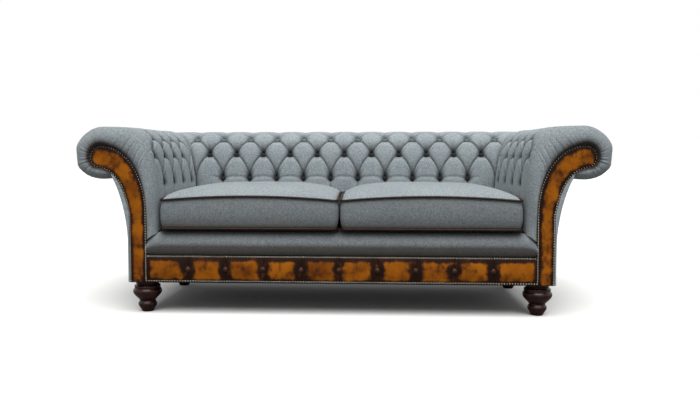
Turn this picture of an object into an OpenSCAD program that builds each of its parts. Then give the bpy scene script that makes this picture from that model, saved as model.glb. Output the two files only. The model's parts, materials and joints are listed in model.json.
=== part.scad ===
// Three-seater scroll-arm sofa with a buttoned back and arms, a leather front border,
// leather arm facings, two loose seat cushions and four turned feet.
// X runs along the width, the front faces -Y and Z is up. The origin is on the floor,
// under the middle of the overall box. Left and right are as seen from the front.
// The arms and the back share one cross-section, which is drawn with its first
// coordinate running outwards from the inner face, and they meet at a 45 degree mitre.

/* [Overall] */
// Width over the two arm rolls
sofa_w = 2190; // [1980:10:2400]
// Depth of the seat, from the front plane to the inner face of the back
seat_d = 610; // [570:5:680]
// Height of the arm and back rolls above the floor
roll_top = 780; // [760:5:820]

/* [Arm and back section] */
// Radius of the roll along the arms and the back
roll_r = 110; // [95:1:120]
// How far the roll stands out past the side of the base
roll_out = 221; // [200:1:235]
// Thickness of the arms and back at seat level
arm_t = 126; // [120:1:150]
// Height where the inner face starts to lean outwards
lean_z = 445; // [420:5:470]
// How far outwards of the inner face the crest gets level
crest_in = 132; // [120:1:150]
// Thickness of the padding on the arms and back
pad_t = 45; // [38:1:50]
// Thickness of the covered outside panels
panel_t = 5; // [3:1:8]

/* [Arm fronts] */
// Width of the leather facing at the base
facing_w = 64; // [56:1:70]
// Fabric showing outside the leather facing
facing_in = 6; // [4:1:10]
// Radius of the scroll at the top of the leather facing
scroll_r = 45; // [38:1:50]
// Thickness of the leather facing and its padding
facing_t = 8; // [6:0.5:10]
// Thickness of the wooden arm front board
board_t = 25; // [20:1:30]

/* [Base] */
// Height of the base frame rails
rail_h = 150; // [130:1:155]
// Thickness of the base frame rails
rail_t = 30; // [24:1:34]
// Thickness of the lighter rails in the arms and back
slat_t = 22; // [18:1:24]
// Height of the lighter rails in the arms and back
slat_h = 40; // [30:1:44]
// Width of the posts in the arms and back
post_w = 50; // [40:1:54]
// Thickness of the padding in front of the front rail
border_pad = 22; // [20:1:26]
// Height of the leather border along the front
border_h = 110; // [90:1:120]
// Height of the fabric roll's top above the rails
lip_rise = 61; // [56:1:64]
// Depth of the fabric roll
lip_d = 60; // [58:1:80]
// Leg length of the glued corner blocks
block_leg = 100; // [90:1:120]
// Thickness of the webbing
web_t = 3; // [2:0.5:4]
// Width of the webbing
web_w = 50; // [40:1:54]
// Spacing of the seat webbing
web_pitch = 105; // [100:1:110]
// Thickness of the dust cover under the frame
dust_t = 1; // [0.5:0.5:2]

/* [Seat cushions] */
// Thickness of the seat deck on the webbing
deck_t = 62; // [60:1:70]
// Gap between the two cushions
cushion_gap = 4; // [3:1:12]
// Height of the cushion border, from seam to seam at the corners
cushion_side = 116; // [90:1:130]
// How much higher the top seam stands at the middle of a side
seam_arch = 17; // [0:1:25]
// Crown of the cushion above its top seam
cushion_crown = 43; // [30:1:60]
// Radius of the cushion corners in plan
cushion_corner = 20; // [16:1:40]
// Radius of the leather piping
piping_r = 4.5; // [3:0.5:6]

/* [Buttoning] */
// How far the buttoned arms swell inwards by the time they reach the back
arm_swell = 30; // [15:1:40]
// Number of buttons in the top row of the back
back_n = 12; // [10:1:14]
// Distance from the corner of the back to the last button in the top row
back_end = 11; // [5:1:20]
// Distance from the front plane to the first button on an arm
arm_first = 55; // [50:1:65]
// Distance from the last upper button on an arm to the corner
arm_last = 96; // [85:1:105]
// Depth of the pleats between the buttons
pleat_d = 12; // [6:1:14]
// Extra depth at each button
pit_d = 16; // [8:1:18]
// Radius of the fabric buttons
button_r = 12; // [9:0.5:13]
// Thickness of the buttons
button_t = 7; // [5:0.5:8]
// Radius of the leather buttons along the front
stud_r = 11; // [9:0.5:13]
// Thickness of the leather buttons along the front
stud_t = 6; // [4:0.5:7]
// Spacing of the leather buttons along the front
stud_pitch = 156; // [140:1:165]

/* [Feet] */
// Height of the feet
foot_h = 134; // [110:1:140]
// Radius of a foot at its large bulb
foot_r = 60; // [52:1:64]
// Radius of a foot at its small bulb
foot_low_r = 39; // [34:1:44]
// Radius of a foot where it stands on the floor
foot_tip_r = 23.5; // [20:0.5:28]
// Distance from the side of the base to the middle of a foot
foot_in = 57; // [55:1:66]
// Distance from the front plane to the middle of a front foot
foot_front = 75; // [68:1:80]
// Distance from the rear of the base to the middle of a rear foot
foot_rear = 61; // [55:1:66]
// Radius of the screw that holds a foot
screw_r = 5; // [4:0.5:6]

/* [Hidden] */
$fn = 48;

beech = "burlywood";
fabric = "lightslategray";
hide = "peru";
edge_hide = "saddlebrown";

// Running clearance between covered parts
clear = 0.3;
// Half widths of the space between the arms and of the base
base_hw = sofa_w / 2 - roll_out;
inner_hw = base_hw - arm_t;
// Middle of the roll in the shared section
roll_c = [arm_t + roll_out - roll_r, roll_top - roll_r];
section_w = arm_t + roll_out;
sofa_d = seat_d + section_w;
base_d = seat_d + arm_t;
// Y of the front plane
front_y = -sofa_d / 2;

// Heights of the base
rail_top = foot_h + rail_h;
border_z = foot_h + 1;
lip_z = border_z + border_h + clear;
lip_top = rail_top + lip_rise;
lip_h = lip_top - lip_z;
pad_z = lip_top + 2 * clear;
// Underside and top of the seat deck
deck_foot = rail_top + 2 * web_t + clear;
deck_z = deck_foot + deck_t;

// The section: marks along the leaning curve, where the buttoned rows are at whole marks
lean_marks = [0, 2, 3, 4, 5, 6, 7, 8, 9, 10.5, 12];
lean_end = 12;
row_marks = 3;
first_row_mark = 2;
row_count = 3;
lean_count = len(lean_marks);
rise = roll_top - lean_z;
// The covering tucks in under the roll at this angle
tuck_angle = -116;
// Angles round the roll, and its reach at each in radii: its outer side is pulled flat
roll_angles = [90, 52, 14, -27, -56, -82, tuck_angle];
roll_reach = [1, 1, 1.03, 1.07, 1.03, 1, 1];
hollow_angles = [90, -10, tuck_angle];
// The padding thins under the roll to this share of its thickness
tuck_share = 0.45;

function curve(a, b, c, d, t) =
    pow(1 - t, 3) * a + 3 * t * pow(1 - t, 2) * b + 3 * t * t * (1 - t) * c + pow(t, 3) * d;
function mix(a, b, t) = a + (b - a) * t;
function polar(r, a) = [r * cos(a), r * sin(a)];

// Outer line of the padding, from the deck over the crest to the tuck
function lean_point(t, inset) = curve(
    [inset, lean_z],
    [inset, lean_z + 0.64 * (rise - inset)],
    [inset / 2 + crest_in / 11, roll_top - inset],
    [crest_in, roll_top - inset],
    t);
function thickness_at(a) = pad_t * (a >= 0 ? 1 : mix(1, tuck_share, a / tuck_angle));
outer_line = concat(
    [[0, pad_z]],
    [for (mark = lean_marks) lean_point(mark / lean_end, 0)],
    [for (i = [0:len(roll_angles) - 1]) roll_c + polar(roll_r * roll_reach[i], roll_angles[i])]);
// Inner line of the padding, which the frame fits inside
function inner_line(steps, angles, gap) = concat(
    [[pad_t + gap, pad_z]],
    [for (i = [0:steps]) lean_point(i / steps, pad_t + gap)],
    [for (a = angles) roll_c + polar(roll_r - thickness_at(a) - gap, a)]);
fine_steps = 6;
coarse_steps = 2;
fine_inner = inner_line(fine_steps, roll_angles, 0);
coarse_inner = inner_line(coarse_steps, hollow_angles, 0);
// Which point of the inner line lies behind each point of the outer line
fine_partner = concat(
    [0],
    [for (mark = lean_marks) 1 + round(mark * fine_steps / lean_end)],
    [for (i = [0:len(roll_angles) - 1]) 2 + fine_steps + i]);
coarse_partner = concat(
    [0],
    [for (mark = lean_marks) 1 + round(mark * coarse_steps / lean_end)],
    [for (i = [0, 0, 0, 1, 1, 1, 2]) 2 + coarse_steps + i]);

// Leather facing on the arm front, in the shared section
scroll_c = roll_c + [0.04, -0.29] * scroll_r;
facing_out = arm_t - facing_in;
facing_inn = facing_out - facing_w;
neck_z = mix(border_z, scroll_c.y, 0.55);
function facing_inner(t) = curve(
    [facing_inn, neck_z],
    [facing_inn + facing_w / 16, mix(neck_z, scroll_c.y, 0.45)],
    [facing_inn + facing_w * 0.87, scroll_c.y + scroll_r * 0.85],
    scroll_c + [0, scroll_r],
    t);
function facing_outer(t) = curve(
    scroll_c + polar(scroll_r, -60),
    scroll_c + [-1.45, -1.05] * scroll_r,
    [facing_out + 0.31 * facing_w, mix(neck_z, scroll_c.y, 0.42)],
    [facing_out, neck_z],
    t);
facing_steps = 14;
facing_line = concat(
    [[facing_inn, border_z]],
    [for (i = [0:facing_steps]) facing_inner(i / facing_steps)],
    [for (a = [75:-15:-45]) scroll_c + polar(scroll_r, a)],
    [for (i = [0:facing_steps]) facing_outer(i / facing_steps)],
    [[facing_out, border_z]]);

// Outside panel of the arms and back
panel_top = roll_c.y + roll_r * sin(tuck_angle) - 3 * clear;
panel_foot = mix(border_z, panel_top, 0.4);
function panel_point(t, inset) = curve(
    [roll_c.x + roll_r * cos(tuck_angle) - inset, panel_top],
    [arm_t + 0.14 * roll_out - inset, mix(panel_foot, panel_top, 0.8)],
    [arm_t + 0.01 * roll_out - inset, mix(panel_foot, panel_top, 0.36)],
    [arm_t - inset, panel_foot],
    t);
panel_steps = 10;
function panel_edge(inset) = concat(
    [for (i = [0:panel_steps]) panel_point(i / panel_steps, inset)],
    [[arm_t - inset, border_z]]);
function reversed(list) = [for (i = [len(list) - 1:-1:0]) list[i]];

// Frame lines in the shared section, counted from the inner face outwards
rail_out = arm_t - panel_t - clear;
rail_in = rail_out - rail_t;
slat_in = rail_in - slat_t;
tack_z = pad_z - 5 - slat_h;
shoulder_z = roll_c.y - 5 - slat_h;
top_rail_s = 50;
cross_pitch = 120;
arm_post_v = 2.5 * cross_pitch;
post_x = 4 * web_pitch;
post_top = shoulder_z + slat_h + 15;
frame_v = facing_t + board_t;
front_rail_v = border_pad;

// Buttoning: rows alternate by half a pitch
back_pitch = 2 * (inner_hw - back_end) / (back_n - 1);
arm_n = 4;
arm_pitch = (seat_d - arm_last - arm_first) / (arm_n - 0.5);
back_half = back_n - 1;
// Spread of a pit in half pitches, and how long a row step is beside a half pitch
pit_spread = 0.48;
row_stretch = 1.6;
mitre_gap = clear / 2;
// Depth of the padding below its crown at column u and row r, in half pitches and rows
function net(a, b) = sqrt(abs(sin(90 * a) * sin(90 * b)));
function pit(u, r, row) =
    exp(-(pow(u - 2 * round((u - row - 1) / 2) - row - 1, 2) + pow(row_stretch * (r - row), 2))
        / pow(pit_spread, 2));
function tuft(u, r) =
    let (q = min(max(r, 0), row_count))
    pleat_d * (1 - net(u + q + 1, u - q + 1))
    + pit_d * max([for (row = [0:row_count - 1]) pit(u, r, row)]);
function row_of(j) =
    j == 0 ? -1.5 : j > lean_count ? row_count : (lean_marks[j - 1] - first_row_mark) / row_marks;
function over_roll(j) = j <= lean_count ? 1 : max(0, 1 - (j - lean_count) / 3);
function inward(line, j) =
    let (d = line[min(j + 1, len(line) - 1)] - line[max(j - 1, 0)])
    [d.y, -d.x] / norm(d);

// A closed band of padding between an outer and an inner grid of points
module band(outer, inner, partner) {
    n = len(outer);
    m = len(outer[0]);
    k = len(inner[0]);
    base = n * m;
    function o(i, j) = i * m + j;
    function q(i, j) = base + i * k + j;
    faces = concat(
        [for (i = [0:n - 2], j = [0:m - 2]) each [
            [o(i, j), o(i + 1, j), o(i + 1, j + 1)], [o(i, j), o(i + 1, j + 1), o(i, j + 1)]]],
        [for (i = [0:n - 2], j = [0:k - 2]) each [
            [q(i, j), q(i + 1, j + 1), q(i + 1, j)], [q(i, j), q(i, j + 1), q(i + 1, j + 1)]]],
        [for (i = [0:n - 2]) each [
            [o(i, 0), q(i, 0), q(i + 1, 0)], [o(i, 0), q(i + 1, 0), o(i + 1, 0)],
            [o(i, m - 1), q(i + 1, k - 1), q(i, k - 1)],
            [o(i, m - 1), o(i + 1, m - 1), q(i + 1, k - 1)]]],
        [for (j = [0:m - 2]) each [
            [o(0, j), o(0, j + 1), q(0, partner[j + 1])],
            [o(n - 1, j), q(n - 1, partner[j + 1]), o(n - 1, j + 1)]]],
        [for (j = [0:m - 2]) if (partner[j + 1] > partner[j]) each [
            [o(0, j), q(0, partner[j + 1]), q(0, partner[j])],
            [o(n - 1, j), q(n - 1, partner[j]), q(n - 1, partner[j + 1])]]]);
    polyhedron(
        [for (column = outer) each column, for (column = inner) each column],
        faces);
}

// Places a piece drawn from the front plane, and one drawn for both sides
module from_front() {
    translate([0, front_y, 0]) children();
}
module left_side() {
    mirror([1, 0, 0]) children();
}
// Stands a flat outline of the shared section up along the right arm or the back
module along_arm(from, to) {
    from_front() translate([inner_hw, to, 0]) rotate([90, 0, 0])
        linear_extrude(to - from) children();
}
module along_back(half) {
    from_front() translate([-half, seat_d, 0]) rotate([90, 0, 90])
        linear_extrude(2 * half) children();
}

// Arm padding: rings over the front edge, then columns along the arm to the mitre
front_round = 28;
front_rings = [[0, 0.6 * facing_t], [0.3, 0], [0.75, 0.2 * front_round], [1, front_round]];
edge_lap = facing_t / 2;
function facing_at(j) =
    j == 0 ? [facing_inn, pad_z]
    : j <= lean_count ? facing_inner(lean_marks[j - 1] / (lean_end + 1))
    : [scroll_c + [0, scroll_r], scroll_c + polar(scroll_r, 55), scroll_c + polar(scroll_r, 20),
       scroll_c + polar(scroll_r, -15), scroll_c + polar(scroll_r, -50), facing_outer(0.1),
       facing_outer(0.27)][j - lean_count - 1];
facing_ring = let (line = [for (j = [0:len(outer_line) - 1]) facing_at(j)])
    [for (j = [0:len(line) - 1]) line[j] - edge_lap * inward(line, j)];
fine_stations = [for (k = [0:len(fine_inner) - 1]) search(k, fine_partner)[0]];
function arm_u(v) = (v - arm_first) * 2 / arm_pitch;
function arm_depth(v, j) = over_roll(j) * tuft(arm_u(v), row_of(j));
arm_columns = [for (k = [0:4 * arm_n - 1]) arm_first + k * arm_pitch / 4];
last_column = arm_columns[4 * arm_n - 1];
arm_ends = [0.4, 1];
function arm_point(p, v) = [inner_hw + p.x, front_y + v, p.y];
// Share of the swell at a section point: none at the deck and over the crest
function swell_share(j) =
    j == 0 || j > lean_count ? 0 : 1 - pow((outer_line[j].y - lean_z) / rise, 2);
function swollen(p, v, j, left = 1) = p - [arm_swell * left * swell_share(j) * v / seat_d, 0];
function mitre_v(p) = seat_d + p.x - mitre_gap;
arm_outer = concat(
    [for (ring = front_rings) [for (j = [0:len(outer_line) - 1])
        let (p = mix(facing_ring[j], outer_line[j], ring[0]),
             depth = ring[0] * ring[0] * arm_depth(front_round, j))
        arm_point(p + depth * inward(outer_line, j), ring[1])]],
    [for (v = arm_columns) [for (j = [0:len(outer_line) - 1])
        arm_point(swollen(outer_line[j] + arm_depth(v, j) * inward(outer_line, j), v, j), v)]],
    [for (e = arm_ends) [for (j = [0:len(outer_line) - 1])
        let (depth = mix(arm_depth(last_column, j), pleat_d * over_roll(j), e),
             p = outer_line[j] + depth * inward(outer_line, j))
        arm_point(swollen(p, last_column, j, 1 - e * e), mix(last_column, mitre_v(p), e))]]);
board_front = facing_t - clear;
// The front inner ring starts a little outside the facing's edge
ring_shift = 0.08;
arm_inner = concat(
    [for (i = [0:3]) let (share = mix(ring_shift, 1, i / 3))
        [for (k = [0:len(fine_inner) - 1])
            arm_point(mix(facing_ring[fine_stations[k]], fine_inner[k], share), board_front)]],
    [for (v = arm_columns) [for (p = fine_inner) arm_point(p, v)]],
    [for (e = arm_ends) [for (p = fine_inner) arm_point(p, mix(last_column, mitre_v(p), e))]]);
module inside_arm() {
    color(fabric) band(arm_outer, arm_inner, fine_partner);
}

// Back padding: columns half of a half pitch apart, and one more column to each mitre
function back_point(p, x) = [x, front_y + seat_d + p.x, p.y];
function mitre_x(p) = inner_hw + p.x - mitre_gap;
function back_depth(u, j) = over_roll(j) * tuft(u, row_of(j));
function back_end_column(side) = [for (j = [0:len(outer_line) - 1])
    let (p = outer_line[j] + pleat_d * over_roll(j) * inward(outer_line, j))
    back_point(p, side * mitre_x(p))];
back_outer = concat(
    [back_end_column(1)],
    [for (u = [back_half:-0.5:-back_half]) [for (j = [0:len(outer_line) - 1])
        back_point(outer_line[j] + back_depth(u, j) * inward(outer_line, j), u * back_pitch / 2)]],
    [back_end_column(-1)]);
back_inner = concat(
    [[for (p = coarse_inner) back_point(p, mitre_x(p))]],
    [for (u = [back_half:-0.5:-back_half]) [for (p = coarse_inner) back_point(p, u * back_pitch / 2)]],
    [[for (p = coarse_inner) back_point(p, -mitre_x(p))]]);
module inside_back() {
    color(fabric) band(back_outer, back_inner, coarse_partner);
}

// A domed button with its shank, standing on the origin along +Z
module button(r, t) {
    dome_r = (r * r + t * t) / (2 * t);
    rotate_extrude() intersection() {
        translate([0, t - dome_r]) circle(dome_r, $fn = 96);
        square([r, t]);
    }
}
module shank_button(r, t, sink) {
    union() {
        button(r, t);
        translate([0, 0, -sink]) cylinder(h = sink + 1, r = r / 4);
    }
}
// How far above the bottom of its pit a button of radius r rests on the padding
pit_slope = 0.95;
function pit_row(r) = 1 + search(first_row_mark + r * row_marks, lean_marks)[0];
function row_spacing(r) =
    let (j = pit_row(r), line = outer_line)
    min(norm(line[j + 1] - line[j]), norm(line[j] - line[j - 1]), back_pitch / 4);
function seat_lift(radius, r) = clear + pit_slope * (pleat_d + pit_d) * radius / row_spacing(r);
function pit_place(r) =
    outer_line[pit_row(r)] + (pleat_d + pit_d) * inward(outer_line, pit_row(r));
function out_angle(r) =
    let (n = -inward(outer_line, pit_row(r)))
    atan2(n.y, n.x);
module seated_button(r) {
    lift = seat_lift(button_r, r);
    translate([0, 0, lift]) shank_button(button_r, button_t, lift - seat_lift(button_r / 4, r));
}
module arm_buttons() {
    color(fabric) for (r = [0:row_count - 1], k = [0:arm_n - 1]) {
        v = arm_first + arm_pitch * (k + (r % 2 == 0 ? 0.5 : 0));
        translate(arm_point(swollen(pit_place(r), v, pit_row(r)), v))
            rotate([0, 90 - out_angle(r), 0])
                seated_button(r);
    }
}
module back_buttons() {
    color(fabric) for (r = [0:row_count - 1]) {
        count = back_n - row_count + 1 + r;
        for (k = [0:count - 1])
            translate(back_point(pit_place(r), (k - (count - 1) / 2) * back_pitch))
                rotate([out_angle(r) - 90, 0, 0])
                    seated_button(r);
    }
}

// Outside panels, cut at the mitre where the arms meet the back
panel_front = 1.5;
module arm_plan() {
    polygon([[inner_hw, panel_front], [inner_hw + section_w, panel_front],
             [inner_hw + section_w, sofa_d - mitre_gap], [inner_hw, seat_d - mitre_gap]]);
}
module back_plan() {
    reach = inner_hw + section_w - mitre_gap;
    near = inner_hw - mitre_gap;
    polygon([[-near, seat_d], [near, seat_d], [reach, sofa_d], [-reach, sofa_d]]);
}
module panel_section() {
    polygon(concat(panel_edge(0), reversed(panel_edge(panel_t))));
}
// At the front the arm's outside cover turns round the board and in under the leather
return_start = 0.3;
module panel_return() {
    along_arm(panel_front, facing_t - clear) polygon(concat(
        panel_edge(panel_t / 4),
        [[facing_out + clear, border_z]],
        [for (i = [facing_steps:-1:0])
            facing_outer(mix(return_start, 1, i / facing_steps)) + [clear, -clear]]));
}
module outside_arm() {
    color(fabric) union() {
        panel_return();
        intersection() {
            along_arm(0, sofa_d) panel_section();
            from_front() linear_extrude(roll_top) arm_plan();
        }
    }
}
module outside_back() {
    color(fabric) intersection() {
        along_back(sofa_w / 2) panel_section();
        from_front() linear_extrude(roll_top) back_plan();
    }
}

// Arm front: the wooden board and the leather facing on it
module arm_board() {
    color(beech) along_arm(facing_t, frame_v) polygon(concat(
        [[facing_inn, foot_h], [facing_inn, pad_z]],
        inner_line(fine_steps, roll_angles, clear),
        panel_edge(panel_t + clear),
        [[rail_out, foot_h]]));
}
module arm_facing() {
    color(hide) along_arm(0, facing_t) polygon(facing_line);
}

// A rail of the arm or the back with a rectangular section
module arm_bar(x, z, w, h, from, to) {
    color(beech) along_arm(from, to) translate([x, z]) square([w, h]);
}
module back_bar(x, z, w, h, half) {
    color(beech) along_back(half) translate([x, z]) square([w, h]);
}
module back_stub(x, at, width, z, w, h) {
    color(beech) from_front() translate([at - width / 2, seat_d + x, z]) cube([width, w, h]);
}

// Base frame
front_rail_end = inner_hw + facing_inn - clear;
module front_rail() {
    color(beech) from_front() union() {
        translate([-front_rail_end, front_rail_v, foot_h])
            cube([2 * front_rail_end, rail_t, rail_h]);
        translate([-(inner_hw + rail_in), frame_v, foot_h])
            cube([2 * (inner_hw + rail_in), front_rail_v + rail_t - frame_v, rail_h]);
    }
}
module side_rail() { arm_bar(rail_in, foot_h, rail_t, rail_h, frame_v, seat_d + rail_out); }
module back_rail() { back_bar(rail_in, foot_h, rail_t, rail_h, inner_hw + rail_in); }
module seat_stretchers() {
    color(beech) from_front() for (side = [-1, 1])
        translate([side * 2.5 * web_pitch - rail_t / 2, front_rail_v + rail_t, foot_h + rail_h * 0.3])
            cube([rail_t, seat_d + rail_in - front_rail_v - rail_t, rail_h * 0.45]);
}
module screw_places() {
    from_front() for (side = [-1, 1], v = [foot_front, base_d - foot_rear])
        translate([side * (base_hw - foot_in), v, 0]) children();
}
module corner_blocks() {
    block_h = rail_h * 0.55;
    color(beech) difference() {
        from_front() for (side = [-1, 1], rear = [0, 1])
            translate([side * (inner_hw + rail_in), rear == 0 ? front_rail_v + rail_t : seat_d + rail_in,
                       foot_h])
                linear_extrude(block_h)
                    polygon([[0, 0], [-side * block_leg, 0], [0, (rear == 0 ? 1 : -1) * block_leg]]);
        screw_places() translate([0, 0, foot_h - 1]) cylinder(h = block_h + 2, r = screw_r + clear);
    }
}

// Arm frame
module arm_post() {
    arm_bar(rail_in, rail_top, rail_t, post_top - rail_top,
            arm_post_v - post_w / 2, arm_post_v + post_w / 2);
}
module corner_post() {
    arm_bar(rail_in, rail_top, rail_t, post_top - rail_top, seat_d + rail_in, seat_d + rail_out);
}
module arm_tack_rail() { arm_bar(slat_in, tack_z, slat_t, slat_h, frame_v, seat_d + slat_in); }
module arm_shoulder_rail() {
    arm_bar(slat_in, shoulder_z, slat_t, slat_h, frame_v, seat_d + slat_in);
}
top_rail_in = roll_c.x - top_rail_s / 2;
top_rail_z = roll_c.y - top_rail_s / 2;
module arm_top_rail() {
    arm_bar(top_rail_in, top_rail_z, top_rail_s, top_rail_s, frame_v, seat_d + top_rail_in);
}
strut_w = 40;
module arm_strut() {
    arm_bar(rail_out, top_rail_z, top_rail_in - rail_out, post_top - top_rail_z,
            arm_post_v - strut_w / 2, arm_post_v + strut_w / 2);
}

// Back frame
back_post_places = [-post_x, 0, post_x];
module back_posts() {
    for (x = back_post_places)
        back_stub(rail_in, x, post_w, rail_top, rail_t, post_top - rail_top);
}
module back_tack_rail() { back_bar(slat_in, tack_z, slat_t, slat_h, inner_hw + rail_in); }
module back_shoulder_rail() { back_bar(slat_in, shoulder_z, slat_t, slat_h, inner_hw + rail_in); }
module back_top_rail() {
    back_bar(top_rail_in, top_rail_z, top_rail_s, top_rail_s, inner_hw + top_rail_in + top_rail_s);
}
module back_struts() {
    for (x = back_post_places)
        back_stub(rail_out, x, strut_w, top_rail_z, top_rail_in - rail_out, post_top - top_rail_z);
}

// Webbing: the seat's long straps lie on the rails and the cross straps lie over them,
// with their ends folded double on the side rails
web_tone = "tan";
web_back = 2;
long_count = 14;
cross_count = 5;
web_end = 2;
module seat_webbing_long() {
    color(web_tone) from_front() for (k = [0:long_count - 1])
        translate([(k - (long_count - 1) / 2) * web_pitch - web_w / 2, front_rail_v + web_end, rail_top])
            cube([web_w, seat_d + rail_in - front_rail_v - web_end + rail_t / 2, web_t]);
}
module seat_webbing_cross() {
    half = inner_hw + rail_out - web_end;
    color(web_tone) from_front() for (k = [1:cross_count])
        translate([0, k * cross_pitch - web_w / 2, 0]) union() {
            translate([-half, 0, rail_top + web_t]) cube([2 * half, web_w, web_t]);
            for (side = [-1, 1])
                translate([side > 0 ? inner_hw + rail_in : -half, 0, rail_top])
                    cube([half - inner_hw - rail_in, web_w, web_t]);
        }
}
strap_h = shoulder_z + slat_h - tack_z;
module arm_webbing() {
    strap_pitch = cross_pitch;
    color(web_tone) for (k = [1:5])
        along_arm(k * strap_pitch - web_w / 2, k * strap_pitch + web_w / 2)
            translate([slat_in - web_back, tack_z]) square([web_back, strap_h]);
}
module back_webbing() {
    color(web_tone) for (k = [0:long_count - 1])
        from_front() translate([(k - (long_count - 1) / 2) * web_pitch - web_w / 2,
                                seat_d + slat_in - web_back, tack_z])
            cube([web_w, web_back, strap_h]);
}

// Seat deck, front roll and leather border
deck_gap = 3;
module seat_platform() {
    half = inner_hw - deck_gap;
    color(fabric) from_front() translate([-half, lip_d, deck_foot])
        cube([2 * half, seat_d - lip_d - clear, deck_t]);
}
lip_round = 42;
module lip_section() {
    difference() {
        union() {
            translate([0, lip_z]) square([lip_d - clear, lip_h - lip_round]);
            translate([lip_round, lip_z]) square([lip_d - clear - lip_round, lip_h]);
            translate([lip_round, lip_top - lip_round]) circle(lip_round);
        }
        translate([front_rail_v - clear, lip_z - 1])
            square([lip_d, rail_top + web_t + clear - lip_z + 1]);
    }
}
module lip_front() {
    half = front_rail_end;
    translate([-half, lip_z]) square([2 * half, lip_h - lip_round]);
    translate([-half + lip_round, lip_z]) square([2 * (half - lip_round), lip_h]);
    for (side = [-1, 1])
        translate([side * (half - lip_round), lip_top - lip_round]) circle(lip_round);
}
module front_lip() {
    color(fabric) from_front() intersection() {
        translate([-front_rail_end, 0, 0]) rotate([90, 0, 90])
            linear_extrude(2 * front_rail_end) lip_section();
        translate([0, lip_d, 0]) rotate([90, 0, 0]) linear_extrude(2 * lip_d) lip_front();
    }
}
border_edge_v = 8;
border_swell = 11;
border_valley = 0.35;
stud_half = 4;
border_rows = [0, 0.12, 0.5, 0.88, 1];
border_columns = concat(
    [front_rail_end],
    [for (k = [4 * stud_half + 3:-1:-4 * stud_half - 3]) k * stud_pitch / 4],
    [-front_rail_end]);
function swell(x, w) =
    border_swell * pow(sin(180 * w), 0.6)
    * mix(border_valley, 1, sqrt(abs(sin(180 * x / stud_pitch))));
function border_v(x, w) = border_edge_v - swell(x, w);
module leather_border() {
    rear = front_rail_v - clear;
    color(hide) band(
        [for (x = border_columns) [for (w = border_rows)
            [x, front_y + border_v(x, w), border_z + w * border_h]]],
        [for (x = border_columns) [for (w = [0, 1])
            [x, front_y + rear, border_z + w * border_h]]],
        [0, 0, 1, 1, 1]);
}
module border_buttons() {
    stud_slope = (border_v(0, 0.5) - border_v(stud_pitch / 4, 0.5)) / (stud_pitch / 4);
    color(edge_hide) from_front() for (k = [-stud_half:stud_half])
        translate([k * stud_pitch, border_v(0, 0.5) - stud_slope * stud_r - clear,
                   border_z + border_h / 2])
            rotate([90, 0, 0]) button(stud_r, stud_t);
}
module dust_cover() {
    half = base_hw - panel_t - clear;
    color("black") difference() {
        from_front() translate([-half, facing_t, foot_h - dust_t])
            cube([2 * half, base_d - facing_t - panel_t - clear, dust_t]);
        screw_places() translate([0, 0, foot_h - dust_t - 1]) cylinder(h = dust_t + 2, r = foot_top_r + 2);
    }
}

// Seat cushions: rings of points from the underside over the border to the crown
cushion_side_clear = 2;
cushion_rear_clear = 3;
side_bulge = 8;
seam_rise = 6;
width_steps = 9;
depth_steps = 7;
corner_steps = 5;
cushion_w = inner_hw - cushion_gap / 2 - cushion_side_clear;
cushion_d = seat_d - cushion_rear_clear;
cover_edge = 2 * piping_r + clear;
cover_half = [cushion_w / 2 - cover_edge, cushion_d / 2 - cover_edge];
cushion_foot = deck_z + clear;
crown_z = seam_rise + cushion_side + seam_arch + cushion_crown;
cushion_x = cushion_gap / 2 + cushion_w / 2;
function run(a, b, n) = [for (i = [0:n - 1]) mix(a, b, i / n)];
function turn(c, r, from) = [for (i = [0:corner_steps - 1]) c + polar(r, from + 90 * i / corner_steps)];
function plan(grow, across = width_steps, along = depth_steps) =
    let (h = cover_half + [grow, grow], r = cushion_corner + grow, c = h - [r, r])
    concat(
        run([h.x, -c.y], [h.x, c.y], along), turn(c, r, 0),
        run([c.x, h.y], [-c.x, h.y], across), turn([-c.x, c.y], r, 90),
        run([-h.x, c.y], [-h.x, -c.y], along), turn(-c, r, 180),
        run([-c.x, -h.y], [c.x, -h.y], across), turn([c.x, -c.y], r, 270));
function seam_z(p) =
    seam_rise + cushion_side
    + seam_arch * (1 - pow(p.x / cover_half.x, 2) * pow(p.y / cover_half.y, 2));
function dome(s) = sqrt(1 - pow(s, 2.6));
function level(points, z) = [for (p = points) [p.x, p.y, z]];
// The outer side of a cushion slants inwards to the rear, to fit the swollen arm
function fitted(p) =
    [p.x - arm_swell * (0.5 + p.x / cushion_w) * (0.5 + p.y / cushion_d), p.y, p.z];
crown_rings = [for (s = [0.94, 0.82, 0.6, 0.3])
    [for (p = plan(0)) [p.x * s, p.y * s, mix(seam_z(p), crown_z, dome(s))]]];
cushion_rings = concat(
    [level(0.6 * plan(0), 0), level(0.94 * plan(0), 0), level(plan(0), seam_rise)],
    [for (w = [0.3, 0.7]) let (rest = plan(0), out = plan(side_bulge))
        [for (i = [0:len(rest) - 1]) [out[i].x, out[i].y, mix(seam_rise, seam_z(rest[i]), w)]]],
    [[for (p = plan(0)) [p.x, p.y, seam_z(p)]]],
    crown_rings);
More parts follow.
